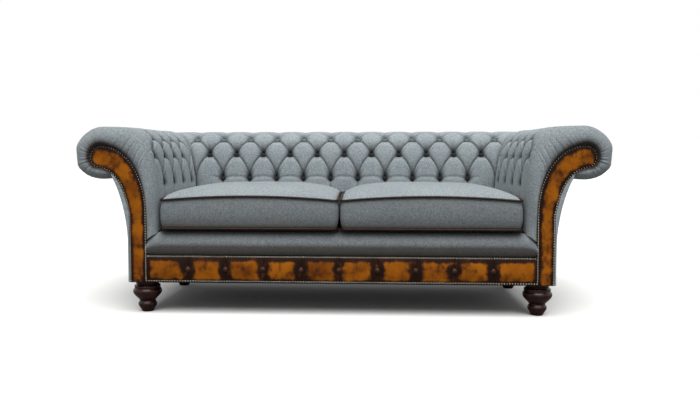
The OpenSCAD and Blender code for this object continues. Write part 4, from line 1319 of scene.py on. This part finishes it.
def border_rub(x, z):
    """How far the border is rubbed tan: not along its edges, at its ends or in the buttons' hollows."""
    rim = np.minimum(smooth_step(border_high.z - z, *TOP_BAND), smooth_step(z - border_low.z, *LOW_BAND))
    ends = smooth_step(border_end - np.abs(x), *END_BAND)
    up = (z - border_low.z) / (border_high.z - border_low.z)
    hollow = smooth_step(stud_line(x) + HOLLOW_NARROWS * np.cos(2 * math.pi * up), *HOLLOW_BAND)
    return BORDER_RUBBED * rim * ends * mix(HOLLOW_RUB, 1.0, hollow) + LEAST_RUB


def make_border():
    x = np.linspace(-border_end, border_end, int(2 * border_end / BORDER_STEP))
    z = np.linspace(border_low.z, border_high.z, BORDER_ROWS)
    X, Z = np.meshgrid(x, z, indexing="ij")
    front = np.stack([X, FRONT_Y + border_front(X, Z), Z], axis=-1)
    heights = (border_low.z, border_high.z)
    corners = [(end, border_high.y, height) for end in (-border_end, border_end) for height in heights]
    n, m = X.shape
    a, b, c, d = range(n * m, n * m + 4)
    faces = grid_faces(n, m) + [[a, b, d, c]]
    faces += [[i * m for i in range(n)] + [c, a], [i * m + m - 1 for i in range(n)] + [d, b]]
    faces += [list(range(m)) + [b, a], list(range((n - 1) * m, n * m)) + [d, c]]
    points = np.concatenate([front.reshape(-1, 3), corners])
    border = make_piece("leather_front_border", points, faces)
    outward(border)
    keep_number(border, "rub", np.concatenate([border_rub(X, Z).ravel(), np.zeros(4)]))
    wear(border, leather)
    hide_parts("leather_border")
    print("border:", len(border.data.polygons), "faces")


make_border()

# %% [markdown]
# ## Rows of nails
# Domed brass nails stand close together along the edges of the leather. Each could be an object of its own,
# but there are hundreds of them, so a row is one small dome repeated at even steps along a line and joined
# into one mesh. Round the scroll they get painted shade, so they are duller.

# %% Nails
NAIL_R = 0.0041
NAIL_H = 0.0026
NAIL_PITCH = 0.0109
NAIL_SIDES = 10
NAIL_RINGS = ((1.0, 0.0), (0.93, 0.40), (0.66, 0.80), (0.36, 0.95))
NAIL_INSET = 0.0042
NAIL_STANDS = 0.0035
ROW_ENDS = 0.004
TOP_ROW_IN, TOP_ROW_STANDS = 0.002, 0.0065
LOW_ROW_IN, LOW_ROW_STANDS = 0.006, 0.0040
LOWEST_NAIL = 0.016
CROWN_GAIN = 1.8
HIGH_NAILS_SHADE = 0.20


def nail_dome():
    """Points and faces of one nail head that faces forwards, and how near each point is to its top."""
    angle = np.arange(NAIL_SIDES) * 2 * math.pi / NAIL_SIDES
    points = []
    for r, h in NAIL_RINGS:
        points += [(NAIL_R * r * math.cos(a), -NAIL_H * h, NAIL_R * r * math.sin(a)) for a in angle]
    points.append((0.0, -NAIL_H, 0.0))
    faces = grid_faces(len(NAIL_RINGS), NAIL_SIDES, closed=True)
    top = (len(NAIL_RINGS) - 1) * NAIL_SIDES
    faces += [[top + j, top + (j + 1) % NAIL_SIDES, len(points) - 1] for j in range(NAIL_SIDES)]
    faces.append(list(range(NAIL_SIDES - 1, -1, -1)))
    crown = np.concatenate([np.repeat([1 - r for r, h in NAIL_RINGS], NAIL_SIDES), [1.0]])
    return np.array(points), faces, np.clip(CROWN_GAIN * crown, 0, 1)


def nail_row(name, places):
    dome, dome_faces, crown = nail_dome()
    places = np.asarray(places, float)
    points = (places[:, None, :] + dome[None, :, :]).reshape(-1, 3)
    faces = [[n * len(dome) + i for i in face] for n in range(len(places)) for face in dome_faces]
    row = make_piece(name, points, faces)
    # painted shade dulls the nails round the scroll
    high = smooth_step(places[:, 2], NECK_Z, SCROLL[1])
    keep_number(row, "crown", (crown[None, :] * (1 - HIGH_NAILS_SHADE * high[:, None])).ravel())
    wear(row, brass)
    print(name, len(places), "nails")


def facing_nails(side):
    whole = np.concatenate([facing_rise, facing_scroll, facing_outer_line(t)])
    inside = whole + NAIL_INSET * inward_normals(whole)
    line = np.concatenate([inside, [[FACING_OUT_S - NAIL_INSET, BASE_Z]]])
    line[:, 1] = np.maximum(line[:, 1], BASE_Z + LOWEST_NAIL)
    places = resample(line, spacing=NAIL_PITCH)
    return [(side * (INNER_X + p[0]), FRONT_Y + NAIL_STANDS, p[1]) for p in places]


def border_nails(z, reach_x, v):
    count = int(round(2 * reach_x / NAIL_PITCH)) + 1
    return [(x, FRONT_Y + v, z) for x in np.linspace(-reach_x, reach_x, count)]


nail_row("right_facing_nails", facing_nails(1))
nail_row("left_facing_nails", facing_nails(-1))
top_end = border_end - ROW_ENDS
nail_row("border_top_nails", border_nails(border_high.z - TOP_ROW_IN, top_end, TOP_ROW_STANDS))
low_end = INNER_X + FACING_OUT_S - ROW_ENDS
nail_row("border_bottom_nails", border_nails(border_low.z + LOW_ROW_IN, low_end, LOW_ROW_STANDS))

# %% [markdown]
# ## The fabric roll under the cushions
# Above the leather a plain roll of padded fabric runs from arm to arm. It overhangs a little, so its lower
# half faces down; that half gets painted shade with a brown cast, a painted reflection of the leather,
# darkest at its foot. The whole roll gets painted shade too, most along its top under the cushions. A
# straight tube would do for its middle, but its ends sweep down to meet the arms, so its outline is drawn
# once and lowered step by step there.

# %% Front roll
LIP_FRONT_V = 0.001
LIP_SHADE = 0.43
LIP_ROUND = 0.040
LIP_BELLY = 0.052
LIP_UNDER = 58
LIP_BACK_Z = 0.290
LIP_TOE_V = 0.0215
LIP_STEPS = 320
UNDER_STEPS, OVER_STEPS = 14, 18
TOP_LEVEL_AT = 1.25
TOP_FALLS = (0.0005, 0.002)
END_CROWDING = 1.35
SLACK_DEPTH = 0.0009
SLACK_Z = 0.31
SLACK_WIDTH = 0.03
SLACK_WAVES = (31, 11)
TUCKED_SHADE, TUCKED_HEIGHT = 0.75, 0.016
LOWER_HALF_REFLECTION, LOWER_HALF_REFLECTION_BAND = 0.68, (0.038, 0.054)
UNDER_SHADE, UNDER_BAND = 0.50, (-0.042, -0.002)
UNDER_END_BAND = (-0.030, 0.005)


def lip_profile():
    """The roll's outline from its foot over its top, as (distance behind the front plane, height)."""
    low, high = lip_low.z, lip_high.z
    under = np.linspace(-LIP_UNDER, 0, UNDER_STEPS)
    angle = np.radians(np.concatenate([under, np.linspace(0, 90, OVER_STEPS)[1:]]))
    up = (high - low - LIP_BELLY) * np.sin(angle)
    down = LIP_BELLY * np.sin(angle) / math.sin(math.radians(LIP_UNDER))
    behind = LIP_FRONT_V + LIP_ROUND * (1 - np.cos(angle))
    front = np.stack([behind, low + LIP_BELLY + np.where(angle > 0, up, down)], axis=1)
    rear_v = lip_high.y - FRONT_Y
    top = [(LIP_FRONT_V + TOP_LEVEL_AT * LIP_ROUND, high - TOP_FALLS[0]), (rear_v, high - TOP_FALLS[1])]
    foot = [(rear_v, LIP_BACK_Z), (LIP_TOE_V, LIP_BACK_Z), (LIP_TOE_V, low)]
    return np.concatenate([front, top, foot])


def make_front_roll():
    low, high = lip_low.z, lip_high.z
    profile = lip_profile()
    level = profile[:, 1]
    share = np.linspace(-1, 1, LIP_STEPS + 1)
    x = np.sign(share) * lip_high.x * (1 - (1 - np.abs(share)) ** END_CROWDING)
    shrink = 1 - lip_drop(x)[:, None] / (high - low)
    z = low + (level[None, :] - low) * shrink
    slack = SLACK_DEPTH * np.sin(x * SLACK_WAVES[0]) * np.sin(x * SLACK_WAVES[1])
    v = profile[None, :, 0] + slack[:, None] * np.exp(-((level[None, :] - SLACK_Z) / SLACK_WIDTH) ** 2)
    points = np.stack([np.repeat(x[:, None], len(profile), axis=1), FRONT_Y + v, z], axis=-1)
    n, m = points.shape[:2]
    faces = grid_faces(n, m, closed=True) + [list(range(m)), list(range((n - 1) * m, n * m))]
    roll = make_piece("fabric_front_roll", points.reshape(-1, 3), faces)
    outward(roll)
    # painted shade at the foot, and above it a painted reflection of the leather with a brown cast
    tucked = TUCKED_SHADE * (1 - smooth_step(level - low, 0, TUCKED_HEIGHT))
    reflected = LOWER_HALF_REFLECTION * (1 - smooth_step(level - low, *LOWER_HALF_REFLECTION_BAND))
    keep_number(roll, "brown_shade", np.repeat(np.maximum(tucked, reflected)[None, :], n, axis=0))
    # painted shade over the whole roll, and a painted shadow along its top under the cushions
    covered = 1 - smooth_step(np.abs(x) - INNER_X, *UNDER_END_BAND)
    under_cushion = UNDER_SHADE * covered[:, None] * smooth_step(level - high, *UNDER_BAND)
    keep_number(roll, "shade", LIP_SHADE + under_cushion)
    wear(roll, fabric)
    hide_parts("front_lip")
    print("front roll:", len(roll.data.polygons), "faces")


make_front_roll()

# %% [markdown]
# ## Seat cushions
# Each cushion is a box cover with a deep border between two piped seams, filled so that its top is crowned.
# Its outer side slants inwards to the rear, because the arm grows thicker there. It is easiest to think of
# a plain rectangular cover first and to slant it afterwards, so x and y below are places on the plain one.

# %% The plain cover
PIPING_R = 0.0045
CUSHION_GAP = 0.004
CUSHION_SIDE_CLEAR = 0.002
CUSHION_REAR_CLEAR = 0.003
SEAM_RISE = 0.006
CUSHION_SIDE = 0.116
SEAM_ARCH = 0.017
CORNER_R = 0.020
cushion_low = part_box("right_cushion")[0]
CUSHION_W = INNER_X - CUSHION_GAP / 2 - CUSHION_SIDE_CLEAR
CUSHION_D = SEAT_D - CUSHION_REAR_CLEAR
CUSHION_X = CUSHION_GAP / 2 + CUSHION_W / 2
CUSHION_Y = FRONT_Y + CUSHION_D / 2
COVER_X = CUSHION_W / 2 - 2 * PIPING_R - CLEAR
COVER_Y = CUSHION_D / 2 - 2 * PIPING_R - CLEAR


def slanted(x, y):
    """X of a point of the plain cover once its outer side slants in to the rear."""
    return x - ARM_SWELL * (0.5 + x / CUSHION_W) * (0.5 + y / CUSHION_D)


def straightened(x, y):
    """Takes the slant out again."""
    back = ARM_SWELL * (0.5 + y / CUSHION_D)
    return (x + 0.5 * back) / (1 - back / CUSHION_W)


def top_seam(x, y):
    """Height of the top seam, which arches up at the middle of each side."""
    arch = SEAM_ARCH * (1 - (x / COVER_X) ** 2 * (y / COVER_Y) ** 2)
    return cushion_low.z + SEAM_RISE + CUSHION_SIDE + arch


print("each cover is", round(CUSHION_W, 3), "m wide and", round(CUSHION_D, 3), "m deep")

# %% [markdown]
# ### Swelling a cover
# The bare model already has the cushion's slanted and crowned shape. A copy of it is remeshed with even
# faces and inflated as cloth, with the cloth held still along the two seams. Then no point is let move far,
# so the panels swell but the seams stay where they are, and nothing grows into the arms or the back. The
# swelling could be drawn by hand, but cloth under pressure finds it by itself.

# %% Inflate a cushion cover
VOXEL = 0.0080
CLOTH_FRAMES = 20
CLOTH_QUALITY = 5
CLOTH_PRESSURE = 4.0
MOST_MOVE = 0.0045
SEAM_HOLD = 0.010
EDGE_HOLD = 0.012


def apply_modifiers(piece):
    ready = bpy.context.evaluated_depsgraph_get()
    ready.update()
    final = bpy.data.meshes.new_from_object(piece.evaluated_get(ready))
    piece.modifiers.clear()
    piece.data = final


def point_array(mesh):
    points = np.zeros(len(mesh.vertices) * 3, np.float32)
    mesh.vertices.foreach_get("co", points)
    return points.reshape(-1, 3).astype(float)


def set_points(mesh, points):
    mesh.vertices.foreach_set("co", points.astype(np.float32).ravel())
    mesh.update()


def plain_places(points, side):
    """Local x and y of a cushion's points, mirrored and straightened into the plain cover."""
    y = points[:, 1] - CUSHION_Y
    return straightened(side * points[:, 0] - CUSHION_X, y), y


def keep_clear(points, side):
    """Keeps a swollen cushion out of the arms, the back and the other cushion."""
    x, y = plain_places(points, side)
    spare = 2 * PIPING_R
    x = np.clip(x, -COVER_X - spare, COVER_X + spare)
    y = np.clip(y, -COVER_Y - 2 * spare, COVER_Y + spare)
    return np.stack([side * (CUSHION_X + slanted(x, y)), CUSHION_Y + y,
                     np.maximum(points[:, 2], cushion_low.z + CLEAR)], axis=1)


def inflate(piece, side):
    """Swells the remeshed cover with a cloth simulation and keeps the result within bounds."""
    start = point_array(piece.data)
    x, y = plain_places(start, side)
    edge = np.maximum(np.abs(x) - COVER_X, np.abs(y) - COVER_Y) > -EDGE_HOLD
    near_top = np.abs(start[:, 2] - top_seam(x, y)) < SEAM_HOLD
    near_low = np.abs(start[:, 2] - cushion_low.z - SEAM_RISE) < SEAM_HOLD
    held = piece.vertex_groups.new(name="seams")
    held.add(np.flatnonzero(edge & (near_top | near_low)).tolist(), 1.0, "REPLACE")
    cloth = piece.modifiers.new("cover", "CLOTH")
    cloth.settings.quality = CLOTH_QUALITY
    cloth.settings.use_pressure = True
    cloth.settings.uniform_pressure_force = CLOTH_PRESSURE
    cloth.settings.vertex_group_mass = "seams"
    cloth.settings.effector_weights.gravity = 0.0
    cloth.point_cache.frame_start = 1
    cloth.point_cache.frame_end = CLOTH_FRAMES
    scene = bpy.context.scene
    for step in range(1, CLOTH_FRAMES + 1):
        scene.frame_set(step)
    apply_modifiers(piece)
    scene.frame_set(1)
    move = point_array(piece.data) - start
    far = np.linalg.norm(move, axis=1, keepdims=True)
    capped = move * np.minimum(1, MOST_MOVE / np.maximum(far, 1e-9))
    set_points(piece.data, keep_clear(start + capped, side))
    return float(far.max())


print("the cloth runs for", CLOTH_FRAMES, "frames and may move a point by", 1000 * MOST_MOVE, "mm")

# %% [markdown]
# ### The two cushions
# The swollen cover gets one subdivision and low waves on its top, as stuffed cushions have, which differ
# between the two. The whole cover gets painted shade, more on the deep border than on the top, and towards
# the border's foot the painted shade turns brown and grows darker.

# %% Cushions
BROAD_WAVE = 0.0012
BROAD_TURNS = (17, 13)
FINE_WAVE = 0.0008
FINE_TURNS = (41, 9)
WAVE_BAND = (0.004, 0.030)
BORDER_BAND = (-0.008, 0.0)
HIGH_BROWN_SHADE, HIGH_BROWN_SHADE_BAND = 0.30, (0.004, 0.075)
LOW_BROWN_SHADE, LOW_BROWN_SHADE_BAND = 0.42, (0.008, 0.030)
TOP_SHADE = 0.13
BORDER_SHADE = 0.45


def finish_cover(piece, side):
    """Adds the waves of the top, and the cover's painted shade, brown and darker near the border's foot."""
    points = point_array(piece.data)
    x, y = plain_places(points, side)
    above = points[:, 2] - top_seam(x, y)
    waves = BROAD_WAVE * np.sin(BROAD_TURNS[0] * x + 3 * side) * np.sin(BROAD_TURNS[1] * y + side)
    waves = waves + FINE_WAVE * np.sin(FINE_TURNS[0] * x * side + FINE_TURNS[1] * y)
    points[:, 2] += waves * smooth_step(above, *WAVE_BAND)
    set_points(piece.data, points)
    piece.data.polygons.foreach_set("use_smooth", [True] * len(piece.data.polygons))
    border = 1 - smooth_step(above, *BORDER_BAND)
    height = points[:, 2] - cushion_low.z
    # painted shade with a brown cast, darker towards the border's foot
    brown_cast = HIGH_BROWN_SHADE * (1 - smooth_step(height, *HIGH_BROWN_SHADE_BAND))
    brown_cast = brown_cast + LOW_BROWN_SHADE * (1 - smooth_step(height, *LOW_BROWN_SHADE_BAND))
    keep_number(piece, "brown_shade", border * brown_cast)
    # painted shade, more on the border than on the top
    keep_number(piece, "shade", mix(TOP_SHADE, BORDER_SHADE, border))


def make_cushion(side, name):
    piece = bpy.data.objects.new("cover_" + name, frame["nodes"][name].data.copy())
    bpy.context.scene.collection.objects.link(piece)
    piece.data.materials.clear()
    remesh = piece.modifiers.new("even", "REMESH")
    remesh.mode = "VOXEL"
    remesh.voxel_size = VOXEL
    apply_modifiers(piece)
    moved = inflate(piece, side)
    smooth = piece.modifiers.new("finer", "SUBSURF")
    smooth.levels = smooth.render_levels = 1
    apply_modifiers(piece)
    finish_cover(piece, side)
    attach(piece, name)
    wear(piece, fabric)
    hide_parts(name)
    print(piece.name, len(piece.data.polygons), "faces, cloth moved up to", round(1000 * moved, 1), "mm")


make_cushion(1, "right_cushion")
make_cushion(-1, "left_cushion")

# %% [markdown]
# ### Leather piping
# A cord covered in dark hide is sewn into both seams of each cushion. It is a thin tube along the rounded
# edge of the cover, and the upper one rises with the arch of its seam. A curve with a round bevel would do
# too, but these points follow the same formula as the cover's seam.

# %% Piping
PIPE_SIDES = 10
PIPE_STEP = 0.006
CORNER_STEPS = 24
CORNERS = (((1, 1), 0), ((-1, 1), 90), ((-1, -1), 180), ((1, -1), 270))


def cover_edge_line(grow):
    """A rounded rectangle round the plain cover, grown outwards, as an even closed line."""
    half = np.array([COVER_X, COVER_Y]) + grow
    radius = CORNER_R + grow
    centre = half - radius
    bends = [np.array(sides) * centre + polar(radius, np.linspace(start, start + 90, CORNER_STEPS))
             for sides, start in CORNERS]
    return resample(np.concatenate(bends + [bends[0][:1]]), spacing=PIPE_STEP)[:-1]


def tube(line, radius):
    """Points round a closed line: each ring lies in the plane across the line."""
    ahead = np.roll(line, -1, axis=0) - np.roll(line, 1, axis=0)
    ahead /= np.linalg.norm(ahead, axis=1, keepdims=True)
    side = np.cross(ahead, (0, 0, 1.0))
    side /= np.linalg.norm(side, axis=1, keepdims=True)
    up = np.cross(side, ahead)
    angle = np.arange(PIPE_SIDES) * 2 * math.pi / PIPE_SIDES
    ring = np.cos(angle)[None, :, None] * side[:, None, :] + np.sin(angle)[None, :, None] * up[:, None, :]
    rings = np.concatenate([line[:, None, :] + radius * ring, line[:1, None, :] + radius * ring[:1]])
    return rings.reshape(-1, 3), grid_faces(len(rings), PIPE_SIDES, closed=True)


def make_piping(side, body):
    flat = cover_edge_line(PIPING_R + CLEAR)
    x, y = flat[:, 0], flat[:, 1]
    seam = top_seam(np.clip(x, -COVER_X, COVER_X), np.clip(y, -COVER_Y, COVER_Y))
    points, faces = [], []
    for heights in (seam, np.full(len(flat), cushion_low.z + SEAM_RISE)):
        line = np.stack([side * (CUSHION_X + slanted(x, y)), CUSHION_Y + y, heights], axis=1)
        ring_points, ring_faces = tube(line, PIPING_R)
        start = sum(len(p) for p in points)
        points.append(ring_points)
        faces += [[start + i for i in face] for face in ring_faces]
    piping = make_piece("piping_" + body, np.concatenate(points), faces, body=body)
    wear(piping, piping_hide)
    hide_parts(body + "_piping")
    print(piping.name, len(faces), "faces")


make_piping(1, "right_cushion")
make_piping(-1, "left_cushion")

# %% [markdown]
# ## Turned feet
# A foot is turned on a lathe: a collar, a bead, a large bulb, a waist, a small bulb and a taper to the
# floor. Spinning an outline is how the real foot is made too, and it needs only the outline's own points,
# so a smooth line of radius against height is drawn once and spun round the foot's axis.

# %% Feet
FOOT_OUTLINE = [(0.0, 0.0222), (0.0010, 0.0235), (0.006, 0.0258), (0.014, 0.0305), (0.022, 0.0357),
                (0.028, 0.0385), (0.033, 0.0390), (0.038, 0.0379), (0.0425, 0.0350), (0.0460, 0.0328),
                (0.0500, 0.0340), (0.0570, 0.0400), (0.0660, 0.0488), (0.0750, 0.0562), (0.0840, 0.0596),
                (0.0915, 0.0592), (0.0975, 0.0560), (0.1010, 0.0532), (0.1035, 0.0532), (0.1070, 0.0545),
                (0.1110, 0.0535), (0.1150, 0.0490), (0.1185, 0.0455), (0.1220, 0.0470), (0.1250, 0.0498),
                (0.1300, 0.0500), (0.1337, 0.0500)]
FOOT_SIDES = 72
SPAN_STEPS = 5


def smooth_outline(points):
    """A smooth curve through all of the outline's points, worked out from four of them at a time."""
    p = np.array([points[0]] + list(points) + [points[-1]])
    out = []
    for i in range(1, len(p) - 2):
        for k in np.arange(SPAN_STEPS) / SPAN_STEPS:
            a, b, c, d = p[i - 1], p[i], p[i + 1], p[i + 2]
            out.append(0.5 * (2 * b + (c - a) * k + (2 * a - 5 * b + 4 * c - d) * k ** 2
                              + (3 * b - a - 3 * c + d) * k ** 3))
    out.append(p[-2])
    return np.array(out)


def make_foot(node):
    low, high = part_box(node)
    centre = (low + high) / 2
    line = smooth_outline(FOOT_OUTLINE)
    angle = np.arange(FOOT_SIDES) * 2 * math.pi / FOOT_SIDES
    x = centre.x + line[:, 1:] * np.cos(angle)[None, :]
    y = centre.y + line[:, 1:] * np.sin(angle)[None, :]
    rings = np.stack([x, y, np.repeat(line[:, :1], FOOT_SIDES, axis=1)], axis=-1)
    faces = grid_faces(len(line), FOOT_SIDES, closed=True)
    faces += [list(range(FOOT_SIDES)), list(range((len(line) - 1) * FOOT_SIDES, len(line) * FOOT_SIDES))]
    foot = make_piece("turned_" + node, rings.reshape(-1, 3), faces)
    outward(foot)
    wear(foot, mahogany)
    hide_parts(node)
    return foot


FEET = ["front_left_foot", "front_right_foot", "rear_left_foot", "rear_right_foot"]
print("feet:", [len(make_foot(node).data.polygons) for node in FEET])

# %% [markdown]
# ## Finishes of the other parts
# The rest of the bare model stays as it is and only gets its finish: the covered outside panels, the
# buttons, the seat deck, the frame, the webbing and the underlining.

# %% Dress the bare parts
PLAIN_FINISH = {"fabric_buttons": shaded_button_cloth, "cover_fabric": fabric, "deck_fabric": lining,
                "frame_wood": beech, "webbing": jute, "underlining": black_cloth, "screws": screw_steel,
                "leather_buttons": stud_hide, "turned_feet": mahogany, "leather_piping": piping_hide,
                "antique_leather": leather}
for part in frame["record"]["subparts"]:
    wear(frame["nodes"][part["node"]], PLAIN_FINISH[part["material_slot"]])

# %% [markdown]
# ## Studio
# The sofa stands on a wide pale floor. A plainly white one would throw so much light up that the underside
# and the border would lose their shade, so this floor looks pale to the camera but throws little light.

# %% Floor
FLOOR_SIZE = 30.0
FLOOR_THROWS = 0.20
FLOOR_ADDED = 0.58


def make_floor():
    """A plain floor: it throws back little light, and what only the camera sees makes it pale."""
    mesh = bpy.data.meshes.new("floor")
    corners = [(-FLOOR_SIZE, -FLOOR_SIZE, 0), (FLOOR_SIZE, -FLOOR_SIZE, 0), (FLOOR_SIZE, FLOOR_SIZE, 0),
               (-FLOOR_SIZE, FLOOR_SIZE, 0)]
    mesh.from_pydata(corners, [], [[0, 1, 2, 3]])
    floor = bpy.data.objects.new("floor", mesh)
    bpy.context.scene.collection.objects.link(floor)
    paint = Recipe("white_sweep", roughness=1.0)
    paint.shader.inputs["Base Color"].default_value = (FLOOR_THROWS, FLOOR_THROWS, FLOOR_THROWS, 1)
    paint.shader.inputs["Specular IOR Level"].default_value = 0.0
    paler = paint.tree.nodes.new("ShaderNodeBsdfDiffuse")
    paler.inputs["Color"].default_value = (FLOOR_ADDED, FLOOR_ADDED, FLOOR_ADDED, 1)
    path = paint.tree.nodes.new("ShaderNodeLightPath")
    add = paint.tree.nodes.new("ShaderNodeAddShader")
    choose = paint.tree.nodes.new("ShaderNodeMixShader")
    paint.link(paint.shader.outputs[0], add, 0)
    paint.link(paler.outputs[0], add, 1)
    paint.link(path.outputs["Is Camera Ray"], choose, 0)
    paint.link(paint.shader.outputs[0], choose, 1)
    paint.link(add.outputs[0], choose, 2)
    paint.link(choose.outputs[0], paint.tree.nodes["Material Output"], "Surface")
    wear(floor, paint.material)


make_floor()
print("floor", 2 * FLOOR_SIZE, "m wide")

# %% [markdown]
# ### World and lights
# The light is broad and soft: a strong wide source overhead and a weak one from the front. Lamps with a
# place would light the near parts more, so both are suns with a large angle, which light the whole width
# evenly and leave a soft shadow below and behind. The world looks white to the camera and in the nails, and
# lights the sofa at a plain level.

# %% Light
AMBIENT = 0.37
OVERHEAD = dict(strength=4.6, height=68, from_side=8, softness=60, colour=(1.0, 0.99, 0.965))
FRONTAL = dict(strength=0.15, height=35, from_side=-10, softness=40, colour=(0.98, 0.99, 1.0))


def make_world():
    """White to the camera, in gloss and through glass; otherwise an even soft light."""
    world = bpy.data.worlds.new("white_studio")
    bpy.context.scene.world = world
    world.use_nodes = True
    nodes, links = world.node_tree.nodes, world.node_tree.links
    ambient = nodes["Background"]
    ambient.inputs["Color"].default_value = (1.0, 1.0, 1.0, 1)
    ambient.inputs["Strength"].default_value = AMBIENT
    shown = nodes.new("ShaderNodeBackground")
    shown.inputs["Color"].default_value = (1.0, 1.0, 1.0, 1)
    path = nodes.new("ShaderNodeLightPath")
    seen = path.outputs["Is Camera Ray"]
    for kind in ("Is Glossy Ray", "Is Transmission Ray"):
        either = nodes.new("ShaderNodeMath")
        either.operation = "MAXIMUM"
        links.new(seen, either.inputs[0])
        links.new(path.outputs[kind], either.inputs[1])
        seen = either.outputs[0]
    choose = nodes.new("ShaderNodeMixShader")
    links.new(seen, choose.inputs[0])
    links.new(ambient.outputs[0], choose.inputs[1])
    links.new(shown.outputs[0], choose.inputs[2])
    links.new(choose.outputs[0], nodes["World Output"].inputs["Surface"])


def soft_sun(name, strength, height, from_side, softness, colour):
    """A broad even light: height and from_side are its degrees above the floor and to the right."""
    lamp = bpy.data.lights.new(name, "SUN")
    lamp.energy = strength
    lamp.angle = math.radians(softness)
    lamp.color = colour
    holder = bpy.data.objects.new(name, lamp)
    holder.rotation_euler = (math.radians(90 - height), 0, math.radians(from_side))
    bpy.context.scene.collection.objects.link(holder)


make_world()
soft_sun("overhead_light", **OVERHEAD)
soft_sun("frontal_light", **FRONTAL)
bpy.context.scene.view_settings.view_transform = "Standard"
print("overhead light", OVERHEAD["strength"], "and frontal light", FRONTAL["strength"], "W/m2")

# %% [markdown]
# ### The camera
# A camera's place can be found from things whose real places are known: here the feet, the arm rolls, the
# cushion corners and the button rows. It stands a little to the right of the middle, lower than the crest,
# and looks slightly down and to the left. The lens is shifted sideways by the nineteen pixels that its axis
# is off the middle of the frame.

# %% Camera
FRAME_PX = 700.0
FOCAL_PX = 707.0
AXIS_LEFT_PX = 18.9
SENSOR_W = 36.0
CAMERA_X = 0.1143
CAMERA_BACK = 2.858
CAMERA_Z = 0.659
LOOKS_DOWN = 0.0630
LOOKS_LEFT = 0.0512
TILT = 0.0002
lens = bpy.data.cameras.new("camera")
lens.sensor_width = SENSOR_W
lens.lens = FOCAL_PX / FRAME_PX * lens.sensor_width
lens.shift_x = AXIS_LEFT_PX / FRAME_PX
camera = bpy.data.objects.new("camera", lens)
camera.location = (CAMERA_X, FRONT_Y - CAMERA_BACK, CAMERA_Z)
camera.rotation_euler = (math.pi / 2 - LOOKS_DOWN, TILT, LOOKS_LEFT)
bpy.context.scene.collection.objects.link(camera)
bpy.context.scene.camera = camera
print("lens", round(lens.lens, 1), "mm at", tuple(round(c, 3) for c in camera.location))

# %% [markdown]
# ## Finish

# %% Finish
print("finished")
